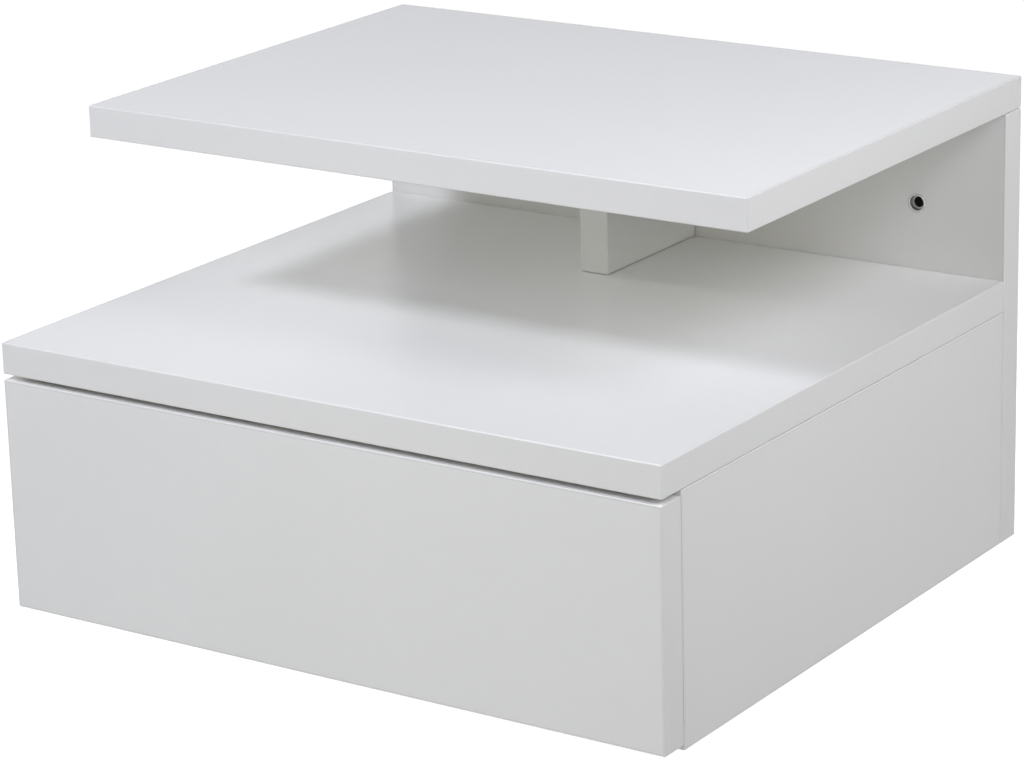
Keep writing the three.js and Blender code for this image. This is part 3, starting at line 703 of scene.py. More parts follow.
def spin(mesh: Mesh, parts: list, angle: float, steps: int, rise: float = 0.0) -> None:
    """Spins part of a mesh about +Z into a closed, outward-facing shape.

    Args:
        mesh: The mesh.
        parts: The points, edges or faces that are spun.
        angle: The angle in radians.
        steps: The number of steps in it.
        rise: How far each step climbs.
    """
    whole = angle == FULL_TURN and not rise
    bmesh.ops.spin(
        mesh,
        geom=parts,
        cent=(0.0, 0.0, 0.0),
        axis=(0.0, 0.0, 1.0),
        dvec=(0.0, 0.0, rise),
        angle=angle,
        steps=steps,
        use_merge=whole,
    )
    if whole:
        bmesh.ops.remove_doubles(mesh, verts=mesh.verts, dist=MM / 1000)
    bmesh.ops.recalc_face_normals(mesh, faces=mesh.faces)


def turned_mesh(profile: Profile, steps: int, closed: bool = False) -> Mesh:
    """Turns a profile about +Z.

    Args:
        profile: Pairs of a radius and a height.
        steps: The number of flats in a full turn.
        closed: Whether the profile's end joins its start.

    Returns:
        The turned shape.
    """
    mesh = bmesh.new()
    points = outline(mesh, profile)
    ends = points[1:] + points[:1] if closed else points[1:]
    edges = [mesh.edges.new(pair) for pair in zip(points, ends)]
    spin(mesh, points + edges, FULL_TURN, steps)
    return mesh


def slab_mesh(size: Vector, taper: float = 1.0) -> Mesh:
    """Makes a block on the plane of height zero, narrower at its far end.

    Args:
        size: The block's size at its near end, and its height.
        taper: The far end's share of the near end.

    Returns:
        The block.
    """
    half = Vector((size.x / 2, size.y / 2, 0.0))
    mesh = box_mesh(-half, half + UP * size.z)
    far = [vert for vert in mesh.verts if vert.co.z > size.z / 2]
    bmesh.ops.scale(mesh, vec=(taper, taper, 1.0), verts=far)
    return mesh


def crossed_slots(length: float, width: float, depth: float, taper: float) -> list[Mesh]:
    """Makes the two slots of a driver's cross, which narrow from the plane of height zero."""
    sizes = ((length, width, depth), (width, length, depth))
    return [slab_mesh(Vector(size), taper) for size in sizes]


def arc(
    centre: tuple[float, float], radius: float, start: float, end: float, steps: int
) -> Profile:
    """Gives the points of a profile's rounded corner, from one angle in degrees to another."""
    angles = [math.radians(start + (end - start) * step / steps) for step in range(steps + 1)]
    return [(centre[0] + radius * math.cos(a), centre[1] + radius * math.sin(a)) for a in angles]


def seat_matrix(at: Vector, along: Vector, up: Vector | None = None) -> Matrix:
    """Gives the matrix that puts the origin in a place and +Z along a direction.

    Args:
        at: The place.
        along: The direction of +Z.
        up: The direction of +X, square to the other.

    Returns:
        The matrix.
    """
    if up is None:
        up = Hand.RIGHT.outward if abs(along.z) > 0.5 else UP
    turn = Matrix((up, along.cross(up), along)).transposed().to_4x4()
    return Matrix.Translation(at) @ turn


def centre_of(node: str) -> Vector:
    """The middle of a node's box."""
    return sum(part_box(node), Vector()) / 2


def reach_of(node: str, along: Vector) -> float:
    """How long a node's box is in a direction."""
    low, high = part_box(node)
    return abs((high - low).dot(along))


def near_end(node: str, along: Vector) -> Vector:
    """The middle of the end of a node's box that a direction starts from."""
    return centre_of(node) - along * reach_of(node, along) / 2


# Boards ---------------------------------------------------------------------


@dataclass(frozen=True)
class Bore:
    """A round hole: its mouth, the direction into the board, its radius and its depth.

    The sink is how much wider its mouth is, down to the land, from where it narrows.
    """

    at: Vector
    along: Vector
    radius: float
    depth: float
    sink: float = 0.0
    land: float = 0.3 * MM
    overrun: float = 1.5 * MM
    steps: int = 40

    def cutter(self) -> Thing:
        """Makes the shape that the hole takes away.

        Returns:
            The shape.
        """
        mouth = self.radius + self.sink
        profile = [(0.0, -self.overrun), (mouth, -self.overrun)]
        if self.sink:
            profile += [(mouth, self.land), (self.radius, self.land + self.sink)]
        profile += [(self.radius, self.depth), (0.0, self.depth)]
        mesh = turned_mesh(profile, self.steps)
        bmesh.ops.transform(mesh, matrix=seat_matrix(self.at, self.along), verts=mesh.verts)
        return thing_of("bore", mesh, [CHIPBOARD])


@dataclass(frozen=True)
class Trench:
    """A groove for a sheet's edge, wider than the sheet by some play."""

    sheet: str
    play: float

    def cutter(self) -> Thing:
        """Makes the shape that the groove takes away.

        Returns:
            The shape.
        """
        low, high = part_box(self.sheet)
        play = Vector((self.play,) * 3)
        return thing_of("trench", box_mesh(low - play, high + play), [CHIPBOARD])


@dataclass
class Board:
    """A faced board with banded edges, built to its node's box and cut for its joints.

    The edges are eased, and a hairline of glue shows where the band meets the face. Raw sides,
    each an axis and a sign, show the core. The front edge can come further forward than its
    node's, to leave no more than a hairline in front of it.
    """

    node: str
    body: Body
    thin: Axis
    slot: Slot = Slot.LAMINATE
    face: Finish = LAMINATE
    band: Finish = BAND
    core: Finish = CHIPBOARD
    raw: tuple[tuple[Axis, int], ...] = ()
    banded: bool = True
    ease: float = 0.7 * MM
    band_width: float = 1.0 * MM
    line_width: float = 0.07 * MM
    line_depth: float = 0.03 * MM
    segments: int = 4
    play: float = 0.25 * MM
    forward: float = 0.0
    cuts: list[Bore | Trench] = field(default_factory=list)

    @property
    def finishes(self) -> list[Finish]:
        """The board's finishes, each once."""
        return list(dict.fromkeys([self.face, self.band, self.core, GLUE_LINE]))

    def bore(
        self, at: Vector, along: Vector, radius: float, depth: float, sink: float = 0.0
    ) -> None:
        """Adds a round hole."""
        self.cuts.append(Bore(at, along, radius, depth, sink))

    def groove(self, sheet: str) -> None:
        """Adds the groove that a sheet's edge lies in."""
        self.cuts.append(Trench(sheet, self.play))

    def build(self) -> None:
        """Makes the board, cuts it and puts it on its body."""
        low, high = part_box(self.node)
        mesh = box_mesh(low - BACK * self.forward, high)
        ease(mesh, mesh.edges, self.ease, self.segments)
        self.sort_faces(mesh)
        if self.banded:
            self.draw_glue_lines(mesh)
        thing = thing_of(f"{self.node}_board", mesh, self.finishes)
        if self.cuts:
            carve(thing, [cut.cutter() for cut in self.cuts])
        smooth(thing)
        present(thing, self.body.value, self.slot, self.node)

    def sort_faces(self, mesh: Mesh) -> None:
        """Gives each face of the eased block its finish.

        Args:
            mesh: The block.
        """
        flat = 0.999
        for face in mesh.faces:
            finish = self.band
            if abs(face.normal[self.thin.value]) > flat:
                finish = self.face
            elif any(face.normal[axis.value] * sign > flat for axis, sign in self.raw):
                finish = self.core
            face.material_index = self.finishes.index(finish)

    def draw_glue_lines(self, mesh: Mesh) -> None:
        """Sinks a hairline into each faced side, a band's thickness from its edges.

        Args:
            mesh: The block.
        """
        steps = (
            (self.band_width - self.ease, 0.0, self.band),
            (self.line_width, -self.line_depth, GLUE_LINE),
            (self.line_width, self.line_depth, GLUE_LINE),
        )
        for side in sorted(mesh.faces, key=lambda face: face.calc_area())[-2:]:
            for width, depth, finish in steps:
                ring = bmesh.ops.inset_region(mesh, faces=[side], thickness=width, depth=depth)
                for face in ring["faces"]:
                    face.material_index = self.finishes.index(finish)


@dataclass
class Hardboard:
    """A thin sheet, lacquered on its upper side and raw fibre elsewhere."""

    node: str
    body: Body
    wear: float = 0.25 * MM
    segments: int = 2

    def build(self) -> None:
        """Makes the sheet with slightly worn edges and puts it on its body."""
        mesh = box_mesh(*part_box(self.node))
        ease(mesh, mesh.edges, self.wear, self.segments)
        for face in mesh.faces:
            face.material_index = 0 if face.normal.z > 0.5 else 1
        thing = thing_of(f"{self.node}_sheet", mesh, [LACQUERED, FIBRE])
        smooth(thing)
        present(thing, self.body.value, Slot.HARDBOARD, self.node)


# Fittings -------------------------------------------------------------------


@dataclass(frozen=True)
class Thread:
    """A screw thread's ridge round +Z, from one height to another.

    Its shares are of the pitch: its foot's width, and half of its crest's.
    """

    core: float
    crest: float
    start: float
    end: float
    pitch: float
    sunk: float = 0.1 * MM
    foot_share: float = 0.55
    land_share: float = 0.08
    steps: int = 20

    def wind(self, mesh: Mesh) -> None:
        """Adds the ridge to a mesh.

        Args:
            mesh: The mesh of the screw.
        """
        root = self.core - self.sunk
        foot = self.foot_share * self.pitch
        land = self.land_share * self.pitch
        middle = self.start + foot / 2
        crest = [(self.crest, middle - land), (self.crest, middle + land)]
        profile = [(root, self.start), *crest, (root, self.start + foot)]
        count = int((self.end - self.start - foot) / self.pitch * self.steps)
        ridge = mesh.faces.new(outline(mesh, profile))
        angle = FULL_TURN * count / self.steps
        spin(mesh, [ridge], angle, count, self.pitch / self.steps)


@dataclass(frozen=True)
class Fitting:
    """A small piece, shaped once from height zero along +Z, and placed wherever its nodes lie."""

    slot: ClassVar[Slot] = Slot.ZINC
    finish: ClassVar[Finish] = ZINC

    def shape(self) -> Thing:
        """Makes the fitting at the origin."""
        raise NotImplementedError

    @cached_property
    def pattern(self) -> bpy.types.Mesh:
        """The fitting's mesh, made the first time it is asked for.

        Returns:
            The mesh, for copies.
        """
        thing = self.shape()
        data = thing.data
        bpy.data.objects.remove(thing)
        return data

    def place(self, node: str, body: str, seat: Matrix) -> None:
        """Puts a copy of the fitting in its node's place.

        Args:
            node: The node that it replaces.
            body: The body that it rides on.
            seat: Its place and direction.
        """
        data = self.pattern.copy()
        data.name = f"{node}_piece"
        data.transform(seat)
        thing = link(data.name, data)
        smooth(thing)
        present(thing, body, self.slot, node)


@dataclass(frozen=True)
class Screw(Fitting):
    """A sunk screw with a socket for a six-sided key, its head's face at height zero."""

    head: float = 5.0 * MM
    head_height: float = 3.6 * MM
    rim: float = 0.3 * MM
    shank: float = 3.2 * MM
    core: float = 2.4 * MM
    tip: float = 1.6 * MM
    tip_length: float = 4.0 * MM
    blunt: float = 0.6 * MM
    length: float = 50.0 * MM
    drive: float = 2.3 * MM
    drive_depth: float = 2.4 * MM
    thread_start: float = 12.0 * MM
    thread_overrun: float = 1.0 * MM
    pitch: float = 3.0 * MM
    steps: int = 40

    def head_profile(self) -> Profile:
        """Gives the head from its middle down to the shank."""
        rim = [(self.head - self.rim, 0.0), (self.head, self.rim)]
        return [(0.0, 0.0), *rim, (self.shank, self.head_height)]

    def recess(self) -> list[Mesh]:
        """Makes the shapes that the driver's recess takes away."""
        return [bar_mesh(self.drive, 2 * self.drive_depth, 6)]

    def shape(self) -> Thing:
        """Turns the screw, cuts its recess and winds its thread.

        Returns:
            The screw.
        """
        thread_end = self.length - self.tip_length
        profile = [
            *self.head_profile(),
            (self.shank, self.thread_start),
            (self.core, self.thread_start + self.shank - self.core),
            (self.core, thread_end),
            (self.tip, self.length - self.blunt),
            (0.0, self.length),
        ]
        thing = thing_of("screw", turned_mesh(profile, self.steps), [self.finish])
        carve(thing, [thing_of("recess", mesh, [self.finish]) for mesh in self.recess()])
        mesh = bmesh.new()
        mesh.from_mesh(thing.data)
        end = thread_end + self.thread_overrun
        Thread(self.core, self.shank, self.thread_start, end, self.pitch).wind(mesh)
        mesh.to_mesh(thing.data)
        mesh.free()
        return thing


@dataclass(frozen=True)
class CrossScrew(Screw):
    """A sunk wood screw with a cross recess."""

    head: float = 3.8 * MM
    head_height: float = 2.6 * MM
    rim: float = 0.2 * MM
    shank: float = 2.0 * MM
    core: float = 1.35 * MM
    tip: float = 0.6 * MM
    length: float = 35.0 * MM
    drive: float = 1.9 * MM
    drive_depth: float = 1.6 * MM
    slot_width: float = 0.75 * MM
    slot_taper: float = 0.45
    thread_start: float = 9.0 * MM
    pitch: float = 1.8 * MM
    steps: int = 32

    def recess(self) -> list[Mesh]:
        """Makes the two crossed, tapered slots."""
        return crossed_slots(2 * self.drive, self.slot_width, self.drive_depth, self.slot_taper)


@dataclass(frozen=True)
class PanScrew(CrossScrew):
    """A short screw with a rounded pan head that stands on its seat."""

    head: float = 3.0 * MM
    head_height: float = 1.4 * MM
    rim: float = 0.8 * MM
    shank: float = 1.7 * MM
    core: float = 1.15 * MM
    tip: float = 0.5 * MM
    tip_length: float = 2.5 * MM
    length: float = 11.4 * MM
    drive: float = 1.5 * MM
    drive_depth: float = 0.9 * MM
    slot_width: float = 0.6 * MM
    thread_start: float = 2.2 * MM
    pitch: float = 1.4 * MM

    def head_profile(self) -> Profile:
        """Gives the pan head with its rounded shoulder.

        Returns:
            Its points.
        """
        shoulder = arc((self.head - self.rim, self.rim), self.rim, -90.0, 0.0, 5)
        foot = [(self.head, self.head_height), (self.shank, self.head_height)]
        return [(0.0, 0.0), *shoulder, *foot]


@dataclass(frozen=True)
class CamBolt(Fitting):
    """A cam's bolt, from the end of its ball head to the end of its thread."""

    length: float = 42.5 * MM
    head: float = 3.0 * MM
    head_height: float = 2.64 * MM
    neck: float = 1.6 * MM
    neck_end: float = 9.0 * MM
    shank: float = 3.0 * MM
    collar: float = 3.7 * MM
    collar_height: float = 1.0 * MM
    joint: float = 31.5 * MM
    thread: float = 2.9 * MM
    thread_gap: float = 0.2 * MM
    core: float = 2.15 * MM
    pitch: float = 1.9 * MM
    ease: float = 0.5 * MM
    rib_depth: float = 0.35 * MM
    rib_pitch: float = 3.0 * MM
    steps: int = 32

    def shape(self) -> Thing:
        """Turns the bolt and winds its thread.

        Returns:
            The bolt.
        """
        crown = self.head - self.ease
        profile = [
            (0.0, 0.0),
            *arc((crown, self.ease), self.ease, -90.0, 0.0, 4),
            *arc((crown, self.head_height - self.ease), self.ease, 0.0, 90.0, 4),
            (self.neck, self.head_height),
            (self.neck, self.neck_end),
            (self.shank - self.ease, self.neck_end),
            (self.shank, self.neck_end + self.ease),
            *self.ribs(),
            (self.shank, self.joint - self.collar_height),
            (self.collar, self.joint - self.collar_height),
            (self.collar, self.joint),
            (self.core, self.joint),
            (self.core, self.length - self.ease),
            (self.core - self.ease, self.length),
            (0.0, self.length),
        ]
        mesh = turned_mesh(profile, self.steps)
        start = self.joint + self.thread_gap
        Thread(self.core, self.thread, start, self.length, self.pitch).wind(mesh)
        return thing_of("bolt", mesh, [self.finish])

    def ribs(self) -> Profile:
        """Gives three shallow rings in the shank.

        Returns:
            Their points.
        """
        middle = (self.neck_end + self.joint) / 2
        depth = self.rib_depth
        floor = self.shank - depth
        points = []
        for place in (middle - self.rib_pitch, middle, middle + self.rib_pitch):
            points += [(self.shank, place - 2 * depth), (floor, place - depth)]
            points += [(floor, place + depth), (self.shank, place + 2 * depth)]
        return points


@dataclass(frozen=True)
class CamDisc(Fitting):
    """A cam, its face at height zero and the bolt that it pulls on towards +X.

    The groove round its face is given in shares of its rim: how far in, and how deep.
    """

    thickness: float = 12.3 * MM
    radius: float = 7.5 * MM
    wall: float = 1.2 * MM
    post: float = 2.2 * MM
    face_to_bolt: float = 7.1 * MM
    head_room: float = 6.6 * MM
    neck_room: float = 3.8 * MM
    sweep: float = 200.0
    sweep_steps: int = 28
    rim: float = 0.5 * MM
    groove_shares: Profile = ((2.2, 0.0), (2.0, 0.5), (1.4, 0.5), (1.2, 0.0))
    slot_length: float = 8.0 * MM
    slot_width: float = 1.6 * MM
    slot_depth: float = 1.8 * MM
    slot_taper: float = 0.75
    arrow: float = 1.3 * MM
    arrow_depth: float = 0.5 * MM
    arrow_share: float = 0.75
    proud: float = 0.01 * MM
    steps: int = 60

    def shape(self) -> Thing:
        """Turns the cam, and cuts its chamber, its cross and its arrow.

        Returns:
            The cam.
        """
        profile = [
            (0.0, 0.0),
            *((self.radius - far * self.rim, deep * self.rim) for far, deep in self.groove_shares),
            (self.radius - self.rim, 0.0),
            (self.radius, self.rim),
            (self.radius, self.thickness - self.rim),
            (self.radius - self.rim, self.thickness),
            (0.0, self.thickness),
        ]
        thing = thing_of("cam", turned_mesh(profile, self.steps), [self.finish])
        marks = crossed_slots(self.slot_length, self.slot_width, self.slot_depth, self.slot_taper)
        marks.append(self.arrow_mark())
        for mesh in marks:
            bmesh.ops.translate(mesh, vec=-UP * self.proud, verts=mesh.verts)
        outer = self.radius - self.wall
        chamber = self.ring(self.post, outer, self.head_room)
        mouth = self.ring(outer - self.wall, self.radius + self.wall, self.neck_room)
        hollows = [chamber, mouth, *marks]
        carve(thing, [thing_of("hollow", mesh, [self.finish]) for mesh in hollows])
        return thing

    def ring(self, inner: float, outer: float, height: float) -> Mesh:
        """Makes part of a ring round +Z, over the cam's sweep, at the bolt's height.

        Args:
            inner: The radius inside.
            outer: The radius outside.
            height: The ring's height.

        Returns:
            The ring.
        """
        mesh = bmesh.new()
        low, high = self.face_to_bolt - height / 2, self.face_to_bolt + height / 2
        corners = [(inner, low), (outer, low), (outer, high), (inner, high)]
        section = mesh.faces.new(outline(mesh, corners))
        swing(mesh, -self.sweep / 2, "Z")
        spin(mesh, [section], math.radians(self.sweep), self.sweep_steps)
        return mesh

    def arrow_mark(self) -> Mesh:
        """Makes the arrow that points towards the bolt.

        Returns:
            The arrow.
        """
        mesh = bar_mesh(self.arrow, self.arrow_depth, 3)
        swing(mesh, 90.0, "Z")
        place = (self.slot_length / 2 + self.arrow * self.arrow_share, 0.0, 0.0)
        bmesh.ops.translate(mesh, vec=place, verts=mesh.verts)
        return mesh


@dataclass(frozen=True)
class Dowel(Fitting):
    """A fluted hardwood peg with chamfered ends."""

    slot: ClassVar[Slot] = Slot.BEECH
    finish: ClassVar[Finish] = BEECH
    radius: float = 4.0 * MM
    length: float = 30.0 * MM
    chamfer: float = 0.9 * MM
    flutes: int = 20
    flute_points: int = 4
    flute_depth: float = 0.3 * MM

    def shape(self) -> Thing:
        """Draws the fluted outline out along +Z, drawn in at both ends.

        Returns:
            The peg.
        """
        mesh = bmesh.new()
        count = self.flutes * self.flute_points
        circle = bmesh.ops.create_circle(mesh, cap_ends=True, segments=count, radius=self.radius)
        furrow = 1.0 - self.flute_depth / self.radius
        hollow = circle["verts"][:: self.flute_points]
        bmesh.ops.scale(mesh, vec=(furrow, furrow, 1.0), verts=hollow)
        narrow = 1.0 - self.chamfer / self.radius
        bmesh.ops.scale(mesh, vec=(narrow, narrow, 1.0), verts=mesh.verts)
        top = mesh.faces[:]
        rises = (
            (self.chamfer, 1.0 / narrow),
            (self.length - 2 * self.chamfer, 1.0),
            (self.chamfer, narrow),
        )
        for rise, share in rises:
            drawn = bmesh.ops.extrude_face_region(mesh, geom=top)["geom"]
            top = [part for part in drawn if isinstance(part, bmesh.types.BMFace)]
            verts = top[0].verts[:]
            bmesh.ops.translate(mesh, vec=UP * rise, verts=verts)
            bmesh.ops.scale(mesh, vec=(share, share, 1.0), verts=verts)
        bmesh.ops.recalc_face_normals(mesh, faces=mesh.faces)
        return thing_of("peg", mesh, [self.finish])


@dataclass(frozen=True)
class Sleeve(Fitting):
    """A metal sleeve with a rounded lip, a recessed mouth and a narrower bore."""

    slot: ClassVar[Slot] = Slot.NICKEL
    finish: ClassVar[Finish] = NICKEL
    length: float = 14.8 * MM
    lip: float = 4.4 * MM
    lip_height: float = 0.3 * MM
    body: float = 3.9 * MM
    mouth: float = 3.6 * MM
    mouth_depth: float = 2.4 * MM
    bore: float = 2.4 * MM
    ease: float = 0.25 * MM
    steps: int = 72

    def shape(self) -> Thing:
        """Turns the sleeve, with painted shade in its recess and a near black painted shade in its
        bore.

        Returns:
            The sleeve.
        """
        soft = self.ease
        profile = [
            *arc((self.bore + soft, self.mouth_depth + soft), soft, 180.0, 270.0, 4),
            (self.mouth, self.mouth_depth),
            *arc((self.mouth + soft, soft), soft, 180.0, 270.0, 4),
            *arc((self.lip - self.lip_height, self.lip_height), self.lip_height, -90.0, 0.0, 5),
            (self.body, self.lip_height),
            (self.body, self.length - soft),
            (self.body - soft, self.length),
            (self.bore, self.length),
        ]
        mesh = turned_mesh(profile, self.steps, closed=True)
        inner, recess = self.bore + soft / 2, self.mouth + soft / 5
        # The bore's faces take a near black painted shade, and the recess's faces a darker nickel as
        # painted shade.
        for face in mesh.faces:
            middle = face.calc_center_median()
            if middle.to_2d().length < inner:
                face.material_index = 2
            elif middle.to_2d().length < recess and middle.z > soft / 2:
                face.material_index = 1
        return thing_of("sleeve", mesh, [self.finish, NICKEL_PAINTED_SHADE, BORE_PAINTED_SHADE])


@dataclass(frozen=True)
class Roller(Fitting):
    """A nylon roller with rounded rims, a hub and a dished outer face."""

    slot: ClassVar[Slot] = Slot.NYLON
    finish: ClassVar[Finish] = NYLON
    radius: float = 8.0 * MM
    width: float = 5.0 * MM
    bore: float = 2.3 * MM
    hub: float = 3.7 * MM
    rim: float = 0.5 * MM
    dish: float = 1.2 * MM
    steps: int = 64

    def shape(self) -> Thing:
        """Turns the roller, dished on the side that looks away from its web.

        Returns:
            The roller.
        """
        outer = self.radius - self.rim
        inner = self.radius - 3 * self.rim
        shoulder = self.width - self.rim
        floor = self.width - self.dish
        profile = [
            (self.bore, 0.0),
            *arc((outer, self.rim), self.rim, -90.0, 0.0, 4),
            *arc((outer, shoulder), self.rim, 0.0, 90.0, 4),
            (inner, self.width),
            (inner - self.rim / 2, shoulder),
            (inner - self.rim, floor),
            (self.hub + self.rim, floor),
            (self.hub, shoulder),
            (self.hub - self.rim / 2, self.width),
            (self.bore, self.width),
        ]
        return thing_of("roller", turned_mesh(profile, self.steps, closed=True), [self.finish])


# Joints ---------------------------------------------------------------------


@dataclass(frozen=True)
class CamJoint:
    """A cam and its bolt, and the bores that they need in two boards."""

    bolt: CamBolt = CamBolt()
    play: float = 0.3 * MM
    thread_bore: float = 3.2 * MM
    shank_bore: float = 4.0 * MM
    sunk: float = 0.4 * MM

    def fit(
        self,
        body: Body,
        names: tuple[str, str],
        along: Vector,
        into: Vector,
        boards: tuple[Board, Board],
    ) -> None:
        """Fits the joint.

        Args:
            body: The body that both boards ride on.
            names: The nodes of the bolt and of the cam.
            along: The direction into the bolt's board.
            into: The direction into the cam's board.
            boards: The bolt's board and the cam's board.
        """
        bolt_node, cam_node = names
        bolt_board, cam_board = boards
        start = near_end(bolt_node, along)
        joint = start + along * self.bolt.joint
        thread_depth = self.bolt.length - self.bolt.joint + self.play
        bolt_board.bore(joint, along, self.thread_bore, thread_depth)
        cam_board.bore(joint, -along, self.shank_bore, self.bolt.joint)
        thickness = reach_of(cam_node, into)
        face = near_end(cam_node, into)
        disc = CamDisc(thickness=thickness, face_to_bolt=(start - face).dot(into))
        depth = self.sunk + thickness + self.play
        cam_board.bore(face - into * self.sunk, into, disc.radius + self.play, depth)
        self.bolt.place(bolt_node, body.value, seat_matrix(start, along))
        disc.place(cam_node, body.value, seat_matrix(face, into, along))


@dataclass(frozen=True)
class PegJoint:
    """A dowel and its two bores."""

    play: float = 0.3 * MM

    def fit(
        self, body: Body, node: str, along: Vector, joint: float, boards: tuple[Board, Board]
    ) -> None:
        """Fits the peg.

        Args:
            body: The body that both boards ride on.
            node: The peg's node.
            along: The direction from the second board into the first.
            joint: The joint's place on that direction's axis.
            boards: The board that the direction runs into, and the other.
        """
        low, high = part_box(node)
        start, length = near_end(node, along), reach_of(node, along)
        radius = min(high - low) / 2
        behind = abs(joint - start.dot(along))
        middle = start + along * behind
        boards[0].bore(middle, along, radius + self.play, length - behind + self.play)
        boards[1].bore(middle, -along, radius + self.play, behind + self.play)
        Dowel(radius=radius).place(node, body.value, seat_matrix(start, along))


@dataclass(frozen=True)
class ScrewJoint:
    """A screw, its countersink in the board that holds its head, and its hole in the other."""

    screw: Screw
    play: float = 0.3 * MM

    def fit(self, body: Body, node: str, along: Vector, boards: tuple[Board, Board]) -> None:
        """Fits the screw.

        Args:
            body: The body that both boards ride on.
            node: The screw's node.
            along: The direction that it is driven in.
            boards: The board that holds its head, and the other.
        """
        start = near_end(node, along)
        hole = self.screw.shank + self.play
        sink = self.screw.head + self.play - hole
        depth = self.screw.length + 2 * self.play
        for board in boards:
            board.bore(start - along * self.play, along, hole, depth, sink)
        self.screw.place(node, body.value, seat_matrix(start, along))


# Runners --------------------------------------------------------------------


@dataclass(frozen=True)
class Pin:
    """A riveted pin that a roller turns on, from inside its web along +Z."""

    radius: float = 2.0 * MM
    root: float = 0.6 * MM
    shoulder: float = 3.2 * MM
    shoulder_height: float = 0.6 * MM
    head_start: float = 6.2 * MM
    head: float = 3.4 * MM
    head_height: float = 1.0 * MM
    ease: float = 0.5 * MM
    dimple: float = 1.4 * MM
    dimple_floor: float = 1.0 * MM
    dimple_depth: float = 0.3 * MM
    steps: int = 40

    def mesh(self) -> Mesh:
        """Turns the pin, with a dimple where it was riveted.

        Returns:
            The pin.
        """
        top = self.head_start + self.head_height
        profile = [
            (0.0, -self.root),
            (self.shoulder, -self.root),
            (self.shoulder, self.shoulder_height),
            (self.radius, self.shoulder_height),
            (self.radius, self.head_start),
            (self.head, self.head_start),
            *arc((self.head - self.ease, top - self.ease), self.ease, 0.0, 90.0, 4),
            (self.dimple, top),
            (self.dimple_floor, top - self.dimple_depth),
            (0.0, top - self.dimple_depth),
        ]
        return turned_mesh(profile, self.steps)


